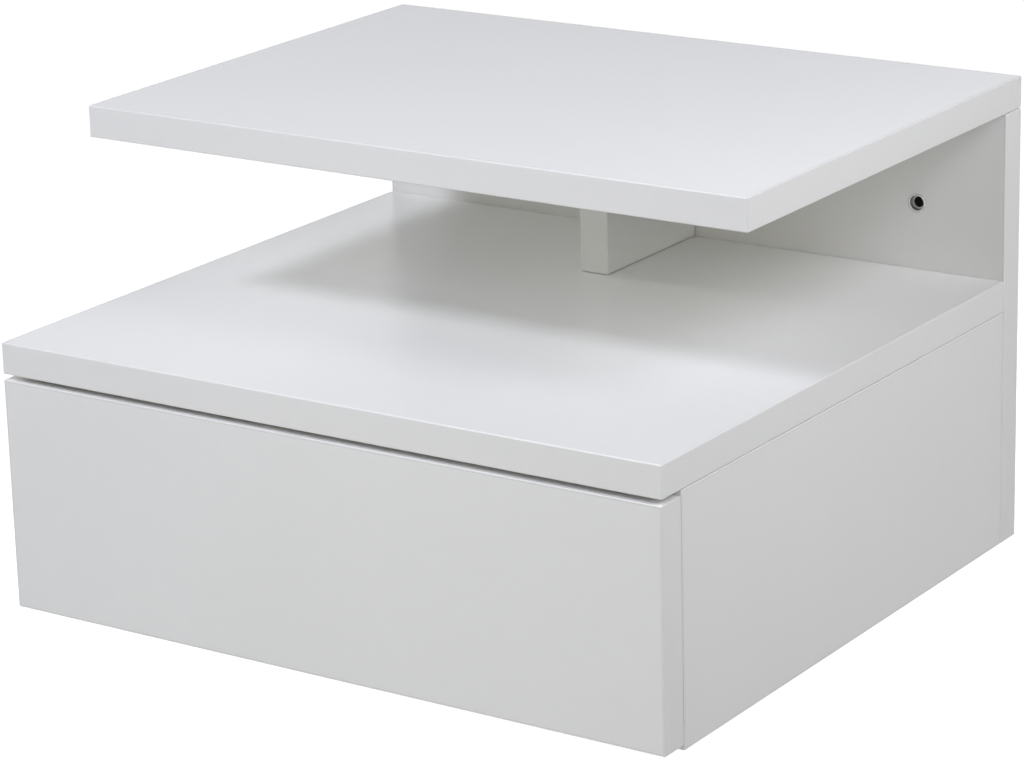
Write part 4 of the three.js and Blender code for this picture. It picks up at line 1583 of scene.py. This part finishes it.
@dataclass
class Runner:
    """A bent strip of coated steel, cut and drilled, with its pin riveted on.

    Everything is built for the right hand, and mirrored for the left. The slots' places are
    distances from the middle between the two screws.
    """

    stem: ClassVar[str]
    body: ClassVar[Body]
    roller: ClassVar[str]
    slot_places: ClassVar[tuple[float, ...]]
    hand: Hand
    steel: float = 1.2 * MM
    bend: float = 2.0 * MM
    bend_steps: int = 6
    hole: float = 2.0 * MM
    hole_steps: int = 32
    slot_length: float = 9.0 * MM
    slot_width: float = 3.6 * MM
    sharp: float = 40.0
    pin: Pin = Pin()

    @property
    def web(self) -> float:
        """The place of the strip's upright part, at the middle of its thickness."""
        raise NotImplementedError

    def corners(self) -> tuple[Vector, Vector]:
        """The corners of the right-hand runner's box."""
        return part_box(f"{self.stem}_right")

    def centreline(self) -> Profile:
        """The strip's section as pairs of a place outward and a height."""
        raise NotImplementedError

    def opening(self) -> Mesh:
        """The piece that is cut away at the runner's end."""
        raise NotImplementedError

    def fittings(self) -> list[Mesh]:
        """The shapes that are joined to the strip."""
        raise NotImplementedError

    def strip(self) -> Thing:
        """Bends the strip and gives it its thickness.

        Returns:
            The strip.
        """
        low, high = self.corners()
        mesh = bmesh.new()
        points = [mesh.verts.new((out, low.y, up)) for out, up in self.centreline()]
        edges = [mesh.edges.new(pair) for pair in zip(points, points[1:])]
        drawn = bmesh.ops.extrude_edge_only(mesh, edges=edges)["geom"]
        far = [part for part in drawn if isinstance(part, bmesh.types.BMVert)]
        bmesh.ops.translate(mesh, vec=BACK * (high.y - low.y), verts=far)
        folds = [edge for edge in mesh.edges if edge.is_manifold]
        ease(mesh, folds, self.bend, self.bend_steps)
        bmesh.ops.recalc_face_normals(mesh, faces=mesh.faces)
        thing = thing_of("strip", mesh, [STEEL])
        thicken = thing.modifiers.new("thickness", "SOLIDIFY")
        thicken.thickness = self.steel
        thicken.offset = 0.0
        thicken.use_even_offset = True
        settle(thing)
        return thing

    def holes(self) -> list[Mesh]:
        """Makes the shapes of the two screw holes and of the slots.

        Returns:
            The shapes.
        """
        first, last = (centre_of(f"{self.stem}_screw_right_{end}") for end in ("front", "back"))
        middle = (first.y + last.y) / 2
        shapes = [self.drill(place.y, place.z) for place in (first, last)]
        for offset in self.slot_places:
            shapes.append(self.drill(middle + offset, first.z, self.slot_length))
        return shapes

    def drill(self, along: float, height: float, length: float = 0.0) -> Mesh:
        """Makes the shape of a screw hole, or of a slot where it has a length.

        Args:
            along: The hole's place along Y.
            height: Its place along Z.
            length: The slot's length.

        Returns:
            The shape.
        """
        radius = self.slot_width / 2 if length else self.hole
        mesh = bar_mesh(radius, 6 * self.steel, self.hole_steps)
        swing(mesh, 90.0, "Y")
        for vert in mesh.verts:
            vert.co.y += math.copysign(max(length / 2 - radius, 0.0), vert.co.y)
        bmesh.ops.translate(mesh, vec=(self.web, along, height), verts=mesh.verts)
        return mesh

    def standing_pin(self, inward: bool) -> Mesh:
        """Makes the pin of the runner's roller, standing on its web.

        Args:
            inward: Whether it stands on the web's inner face.

        Returns:
            The pin.
        """
        along = -Hand.RIGHT.outward if inward else Hand.RIGHT.outward
        middle = centre_of(self.roller)
        foot = Vector((self.web, middle.y, middle.z)) + along * self.steel / 2
        mesh = self.pin.mesh()
        bmesh.ops.transform(mesh, matrix=seat_matrix(foot, along), verts=mesh.verts)
        return mesh

    def build(self) -> None:
        """Makes the runner and puts it on its body."""
        strip = self.strip()
        shapes = [self.opening(), *self.holes()]
        carve(strip, [thing_of("opening", mesh, [STEEL]) for mesh in shapes])
        mesh = bmesh.new()
        mesh.from_mesh(strip.data)
        for extra in self.fittings():
            joined = bpy.data.meshes.new("fitting")
            extra.to_mesh(joined)
            extra.free()
            mesh.from_mesh(joined)
            bpy.data.meshes.remove(joined)
        bpy.data.meshes.remove(strip.data)
        if self.hand is Hand.LEFT:
            bmesh.ops.scale(mesh, vec=(-1.0, 1.0, 1.0), verts=mesh.verts)
            bmesh.ops.reverse_faces(mesh, faces=mesh.faces)
        node = f"{self.stem}_{self.hand.word}"
        thing = thing_of(f"{node}_strip", mesh, [STEEL])
        smooth(thing, self.sharp)
        present(thing, self.body.value, Slot.STEEL, node)


@dataclass
class CabinetRunner(Runner):
    """A channel that is open to the drawer, with a mouth, a stop lug and the front roller's pin."""

    stem: ClassVar[str] = "cabinet_runner"
    body: ClassVar[Body] = Body.CABINET
    roller: ClassVar[str] = "front_roller_right"
    slot_places: ClassVar[tuple[float, ...]] = (-42.0 * MM, 0.0, 42.0 * MM)
    mouth: float = 22.0 * MM
    stop_height: float = 5.0 * MM
    stop_ease: float = 0.4 * MM
    overlap: float = 60.0 * MM
    gap: float = 0.3 * MM

    @property
    def web(self) -> float:
        """The place of the channel's web, at the middle of its thickness."""
        return self.corners()[1].x - self.steel / 2

    def centreline(self) -> Profile:
        """The channel's section.

        Returns:
            Its corners.
        """
        low, high = self.corners()
        floor, ceiling = low.z + self.steel / 2, high.z - self.steel / 2
        return [(low.x, ceiling), (self.web, ceiling), (self.web, floor), (low.x, floor)]

    def opening(self) -> Mesh:
        """Makes the mouth that the drawer's rear roller comes in by.

        Returns:
            The shape that it takes away.
        """
        low, high = self.corners()
        shut = high.x - self.steel - self.gap
        roller_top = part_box(self.roller)[1].z
        corner = Vector((low.x - self.steel, low.y - self.steel, roller_top))
        return box_mesh(corner, Vector((shut, low.y + self.mouth, high.z + self.steel)))

    def fittings(self) -> list[Mesh]:
        """Makes the stop lug and the front roller's pin.

        The lug meets the rear roller when the runners overlap by no more than they have to.

        Returns:
            The shapes.
        """
        low, high = self.corners()
        travel = high.y - low.y - self.overlap
        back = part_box("rear_roller_right")[0].y - travel - self.gap
        foot = low.z + self.steel
        corner = Vector((low.x + self.steel, back - self.steel, low.z))
        lug = box_mesh(corner, Vector((high.x - 2 * self.steel, back, foot + self.stop_height)))
        crown = [edge for edge in lug.edges if all(vert.co.z > foot for vert in edge.verts)]
        ease(lug, crown, self.stop_ease, 3)
        return [lug, self.standing_pin(inward=True)]


@dataclass
class DrawerRunner(Runner):
    """A strip that carries the drawer's side, rides on the front roller and holds the rear one."""

    stem: ClassVar[str] = "drawer_runner"
    body: ClassVar[Body] = Body.DRAWER
    roller: ClassVar[str] = "rear_roller_right"
    slot_places: ClassVar[tuple[float, ...]] = (-35.0 * MM, 35.0 * MM)
    seat: float = 0.3 * MM

    @property
    def web(self) -> float:
        """The place of the strip's upright part, just outside the drawer's side."""
        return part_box("drawer_side_right")[1].x + self.seat + self.steel / 2

    def centreline(self) -> Profile:
        """The strip's section: a flange under the side, the web and the riding flange.

        Returns:
            Its corners.
        """
        low, high = self.corners()
        floor, ceiling = low.z + self.steel / 2, high.z - self.steel / 2
        return [(low.x, floor), (self.web, floor), (self.web, ceiling), (high.x, ceiling)]

    def opening(self) -> Mesh:
        """Makes the notch over the rear roller.

        Returns:
            The shape that it takes away.
        """
        high = self.corners()[1]
        clear = self.web + self.steel / 2 + self.seat
        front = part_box(self.roller)[0].y - self.steel
        beyond = Vector((self.steel,) * 3)
        return box_mesh(Vector((clear, front, high.z - 2 * self.steel)), high + beyond)

    def fittings(self) -> list[Mesh]:
        """Makes the rear roller's pin."""
        return [self.standing_pin(inward=False)]


# Studio ---------------------------------------------------------------------


def direction(azimuth: float, elevation: float) -> Vector:
    """Gives the direction from the object to a viewer.

    Args:
        azimuth: The angle in degrees from the front towards the right.
        elevation: The angle above the horizon.

    Returns:
        The direction.
    """
    turn, rise = math.radians(azimuth), math.radians(elevation)
    level = math.cos(rise)
    return Vector((math.sin(turn) * level, -math.cos(turn) * level, math.sin(rise)))


def aim_at(thing: Thing, away: Vector, roll: float = 0.0) -> None:
    """Points a lamp or a camera.

    Args:
        thing: The lamp or camera.
        away: The direction from what it looks at to itself.
        roll: A turn in degrees about that direction.
    """
    turn = (-away).to_track_quat("-Z", "Y").to_matrix()
    thing.rotation_mode = "QUATERNION"
    rolled = turn @ Matrix.Rotation(math.radians(roll), 3, "Z")
    thing.rotation_quaternion = rolled.to_quaternion()


@dataclass(frozen=True)
class Softbox:
    """A square lamp that looks at the object.

    One that isn't mirrored lights the object, but its own image doesn't show in it.
    """

    name: str
    azimuth: float
    elevation: float
    watts: float
    size: float = 1.0
    distance: float = 2.0
    colour: Colour = (1.0, 1.0, 1.0)
    mirrored: bool = True

    def hang(self, aim: Vector) -> None:
        """Makes the lamp and aims it.

        Args:
            aim: The place that it looks at.
        """
        lamp = bpy.data.lights.new(self.name, "AREA")
        lamp.shape = "SQUARE"
        lamp.size = self.size
        lamp.energy = self.watts
        lamp.color = self.colour
        away = direction(self.azimuth, self.elevation)
        thing = link(self.name, lamp)
        thing.visible_glossy = self.mirrored
        thing.location = aim + away * self.distance
        aim_at(thing, away)


@dataclass(frozen=True)
class Camera:
    """The photograph's viewpoint."""

    place: tuple[float, float, float] = (0.94552, -1.56134, 0.46665)
    azimuth: float = 34.1517
    elevation: float = 17.5265
    roll: float = -1.5075
    lens: float = 134.6
    near: float = 0.05
    far: float = 60.0

    def set_up(self) -> None:
        """Makes the camera and gives it to the scene."""
        data = bpy.data.cameras.new("camera")
        data.lens = self.lens
        data.clip_start = self.near
        data.clip_end = self.far
        thing = link("camera", data)
        thing.location = self.place
        aim_at(thing, direction(self.azimuth, self.elevation), self.roll)
        bpy.context.scene.camera = thing


@dataclass
class Studio:
    """The pale floor, the white surround and the soft lamps.

    The floor is lifted to white by a glow that only the eye sees. It is weaker near the object,
    up to the near radius, so that the object's shadow shows, and full past the far one.
    """

    aim: Vector = field(default_factory=lambda: Vector((0.0, -0.16, -0.05)))
    floor_height: float = -0.60
    floor_reach: float = 9.0
    floor_colour: Colour = (0.86, 0.86, 0.86)
    near_lift: float = 0.4
    near: float = 0.45
    far: float = 1.3
    lamps: tuple[Softbox, ...] = (
        Softbox("lamp_key", -35.0, 45.0, 18.7, 0.35, colour=(0.88, 0.904, 1.0)),
        Softbox("lamp_left", -90.0, 14.0, 12.2, 0.4, colour=(0.99, 1.0, 0.935), mirrored=False),
        Softbox("lamp_front", 0.0, 32.0, 1.4, 0.3, 1.0, (0.87, 0.88, 1.0)),
        Softbox("lamp_low_front", 10.0, 10.0, 1.6, 0.6, 1.0, (1.0, 0.97, 0.77), mirrored=False),
        Softbox("lamp_near_right", 75.0, 36.0, 1.7, 0.3, 1.0, (0.88, 0.865, 1.0), mirrored=False),
        Softbox("lamp_high_right", 85.0, 44.0, 1.75, 0.3, 1.0, (0.895, 0.912, 1.0)),
        Softbox("lamp_right", 95.0, 28.0, 1.8, 0.3, 1.0, (0.99, 1.0, 0.89), mirrored=False),
        Softbox("lamp_low_right", 80.0, 20.0, 1.7, 0.3, colour=(1.0, 0.98, 0.935), mirrored=False),
        Softbox("lamp_back", 180.0, -10.0, 9.0, 0.4, mirrored=False),
    )

    def build(self) -> None:
        """Makes the floor, the surround and the lamps."""
        self.lay_floor()
        self.fill_world()
        for lamp in self.lamps:
            lamp.hang(self.aim)
        bpy.context.scene.view_settings.view_transform = "Standard"

    def seen(self, tree: Tree) -> Socket:
        """Gives 1 where the camera, a mirror or glass looks, and 0 where light is gathered.

        Args:
            tree: The tree that gets the nodes.

        Returns:
            The value.
        """
        path = tree.add("ShaderNodeLightPath").outputs
        shiny = tree.math("MAXIMUM", path["Is Glossy Ray"], path["Is Transmission Ray"])
        return tree.math("MAXIMUM", path["Is Camera Ray"], shiny)

    def fill_world(self) -> None:
        """Makes the surround white to the eye, and dark as a light."""
        world = bpy.data.worlds.new("surround")
        world.use_nodes = True
        bpy.context.scene.world = world
        tree = Tree(world.node_tree)
        dark = tree.add("ShaderNodeBackground", {"Strength": 0.0}).outputs[0]
        white = tree.add("ShaderNodeBackground", {"Color": (1.0, 1.0, 1.0), "Strength": 1.0})
        surface = tree.blend(self.seen(tree), dark, white.outputs[0])
        tree.add("ShaderNodeOutputWorld", {"Surface": surface})

    def lift(self, tree: Tree) -> Socket:
        """Gives how strongly the floor glows.

        Args:
            tree: The tree that gets the nodes.

        Returns:
            The strength.
        """
        foot = (self.aim.x, self.aim.y, self.floor_height)
        place = tree.add("ShaderNodeTexCoord").outputs["Object"]
        away = tree.add("ShaderNodeVectorMath", {0: place, 1: foot}, operation="DISTANCE")
        sockets = {
            "Value": away.outputs["Value"],
            "From Min": self.near,
            "From Max": self.far,
            "To Min": self.near_lift,
        }
        return tree.add("ShaderNodeMapRange", sockets, interpolation_type="SMOOTHSTEP").outputs[0]

    def lay_floor(self) -> None:
        """Makes a floor that looks white, takes the object's shadow, and is clear from below."""
        mesh = bmesh.new()
        bmesh.ops.create_grid(mesh, x_segments=1, y_segments=1, size=self.floor_reach)
        bmesh.ops.translate(mesh, vec=UP * self.floor_height, verts=mesh.verts)
        paint = bpy.data.materials.new("floor_paint")
        paint.use_nodes = True
        tree = Tree(paint.node_tree)
        matt = tree.add("ShaderNodeBsdfDiffuse", {"Color": self.floor_colour}).outputs[0]
        glow = tree.add("ShaderNodeEmission", {"Strength": self.lift(tree)}).outputs[0]
        both = tree.add("ShaderNodeAddShader", {0: matt, 1: glow}).outputs[0]
        seen = self.seen(tree)
        top = tree.blend(seen, matt, both)
        clear = tree.add("ShaderNodeBsdfTransparent").outputs[0]
        backs = tree.add("ShaderNodeNewGeometry").outputs["Backfacing"]
        surface = tree.blend(tree.math("MULTIPLY", seen, backs), top, clear)
        tree.add("ShaderNodeOutputMaterial", {"Surface": surface})
        floor = thing_of("floor", mesh, [])
        floor.data.materials.append(paint)


# Assemblies -----------------------------------------------------------------


@dataclass
class Cabinet:
    """The fixed boards with their joints, wall sleeves and bottom.

    The sides' front edges stand forward of their nodes', because the real drawer's front leaves
    only a faint line beside it when it is shut.
    """

    cam: CamJoint = CamJoint()
    peg: PegJoint = PegJoint()
    screw: ScrewJoint = ScrewJoint(Screw())
    sleeve: Sleeve = Sleeve()
    sleeve_play: float = 0.3 * MM
    sleeve_overrun: float = 3.0 * MM
    side_forward: float = 0.8 * MM
    boards: dict[str, Board] = field(default_factory=dict)

    def build(self) -> None:
        """Builds the cabinet."""
        across, along, up = Axis.ACROSS, Axis.ALONG, Axis.UP
        self.add("top_shelf", up)
        self.add("back_panel", along, ((up, 1),))
        self.add("lower_shelf", up, ((along, 1),))
        self.add("centre_support", across, ((up, 1), (up, -1)))
        for hand in Hand:
            self.add(f"side_panel_{hand.word}", across, ((up, 1), (along, 1)), self.side_forward)
            self.join_side(hand)
            self.join_back(hand)
        self.join_support()
        self.boards["back_panel"].groove("bottom_panel")
        for board in self.boards.values():
            board.build()
        Hardboard("bottom_panel", Body.CABINET).build()

    def add(
        self, node: str, thin: Axis, raw: tuple[tuple[Axis, int], ...] = (), forward: float = 0.0
    ) -> None:
        """Keeps a board until its joints are known."""
        self.boards[node] = Board(node, Body.CABINET, thin, raw=raw, forward=forward)

    def join_side(self, hand: Hand) -> None:
        """Joins one side to the lower shelf and the back panel.

        Args:
            hand: The side.
        """
        panel = self.boards[f"side_panel_{hand.word}"]
        panel.groove("bottom_panel")
        for end in ("front", "back"):
            names = tuple(f"side_cam_{part}_{hand.word}_{end}" for part in ("bolt", "disc"))
            boards = (self.boards["lower_shelf"], panel)
            self.cam.fit(Body.CABINET, names, UP, hand.outward, boards)
        name = f"back_screw_side_{hand.word}"
        self.screw.fit(Body.CABINET, name, -BACK, (self.boards["back_panel"], panel))

    def join_back(self, hand: Hand) -> None:
        """Joins one end of the back panel to both shelves, and lines its wall hole.

        Args:
            hand: The side that the end is on.
        """
        back, top = self.boards["back_panel"], self.boards["top_shelf"]
        name = f"back_screw_shelf_{hand.word}"
        self.screw.fit(Body.CABINET, name, -BACK, (back, self.boards["lower_shelf"]))
        names = (f"top_cam_bolt_{hand.word}", f"top_cam_disc_{hand.word}")
        self.cam.fit(Body.CABINET, names, UP, -BACK, (top, back))
        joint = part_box("top_shelf")[0].z
        self.peg.fit(Body.CABINET, f"top_dowel_{hand.word}", UP, joint, (top, back))
        name = f"wall_sleeve_{hand.word}"
        face = near_end(name, BACK)
        depth = self.sleeve.length + self.sleeve_overrun
        back.bore(face, BACK, self.sleeve.body + self.sleeve_play, depth)
        self.sleeve.place(name, Body.CABINET.value, seat_matrix(face, BACK))

    def join_support(self) -> None:
        """Joins the support to both shelves."""
        support, top = self.boards["centre_support"], self.boards["top_shelf"]
        self.screw.fit(Body.CABINET, "support_screw", UP, (self.boards["lower_shelf"], support))
        self.peg.fit(Body.CABINET, "support_dowel", UP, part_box("top_shelf")[0].z, (top, support))


@dataclass
class Drawer:
    """The drawer's boards with their joints and bottom."""

    cam: CamJoint = CamJoint()
    peg: PegJoint = PegJoint()
    screw: ScrewJoint = ScrewJoint(CrossScrew())
    foil_ease: float = 1.2 * MM

    def build(self) -> None:
        """Builds the drawer."""
        front = Board("drawer_front", Body.DRAWER, Axis.ALONG)
        back = self.foiled("drawer_back", Axis.ALONG, Axis.ACROSS)
        front.groove("drawer_bottom")
        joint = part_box("drawer_front")[1].y
        boards = [front, back]
        for hand in Hand:
            side = self.foiled(f"drawer_side_{hand.word}", Axis.ACROSS, Axis.ALONG)
            side.groove("drawer_bottom")
            names = (f"drawer_cam_bolt_{hand.word}", f"drawer_cam_disc_{hand.word}")
            self.cam.fit(Body.DRAWER, names, -BACK, -hand.outward, (front, side))
            name = f"drawer_dowel_{hand.word}"
            self.peg.fit(Body.DRAWER, name, -BACK, -joint, (front, side))
            for level in ("low", "high"):
                name = f"drawer_back_screw_{hand.word}_{level}"
                self.screw.fit(Body.DRAWER, name, -hand.outward, (side, back))
            boards.append(side)
        for board in boards:
            board.build()
        Hardboard("drawer_bottom", Body.DRAWER).build()

    def foiled(self, node: str, thin: Axis, long: Axis) -> Board:
        """Gives a board wrapped in foil, with bare ends.

        Args:
            node: The board's node.
            thin: The axis that it is thin along.
            long: The axis that it is long along.

        Returns:
            The board.
        """
        return Board(
            node,
            Body.DRAWER,
            thin,
            Slot.FOIL,
            face=FOIL,
            band=FOIL,
            raw=((long, 1), (long, -1)),
            banded=False,
            ease=self.foil_ease,
        )


@dataclass
class Slides:
    """Both pairs of runners with their rollers and screws."""

    screw: PanScrew = PanScrew()

    def build(self) -> None:
        """Builds the runners, rollers and screws of both hands."""
        for hand in Hand:
            CabinetRunner(hand).build()
            DrawerRunner(hand).build()
            self.roll(f"front_roller_{hand.word}", -hand.outward)
            self.roll(f"rear_roller_{hand.word}", hand.outward)
            for end in ("front", "back"):
                self.fix(f"cabinet_runner_screw_{hand.word}_{end}", Body.CABINET, hand.outward)
                self.fix(f"drawer_runner_screw_{hand.word}_{end}", Body.DRAWER, -hand.outward)

    def roll(self, node: str, along: Vector) -> None:
        """Places a roller on its own body."""
        roller = Roller(radius=reach_of(node, UP) / 2, width=reach_of(node, along))
        roller.place(node, node, seat_matrix(near_end(node, along), along))

    def fix(self, node: str, body: Body, along: Vector) -> None:
        """Places a runner's screw."""
        self.screw.place(node, body.value, seat_matrix(near_end(node, along), along))


def main() -> None:
    """Builds the scene, one assembly after another."""
    logging.basicConfig(level=logging.INFO, format="%(name)s: %(message)s")
    Camera().set_up()
    Studio().build()
    Cabinet().build()
    Drawer().build()
    Slides().build()


if __name__ == "__main__":
    main()
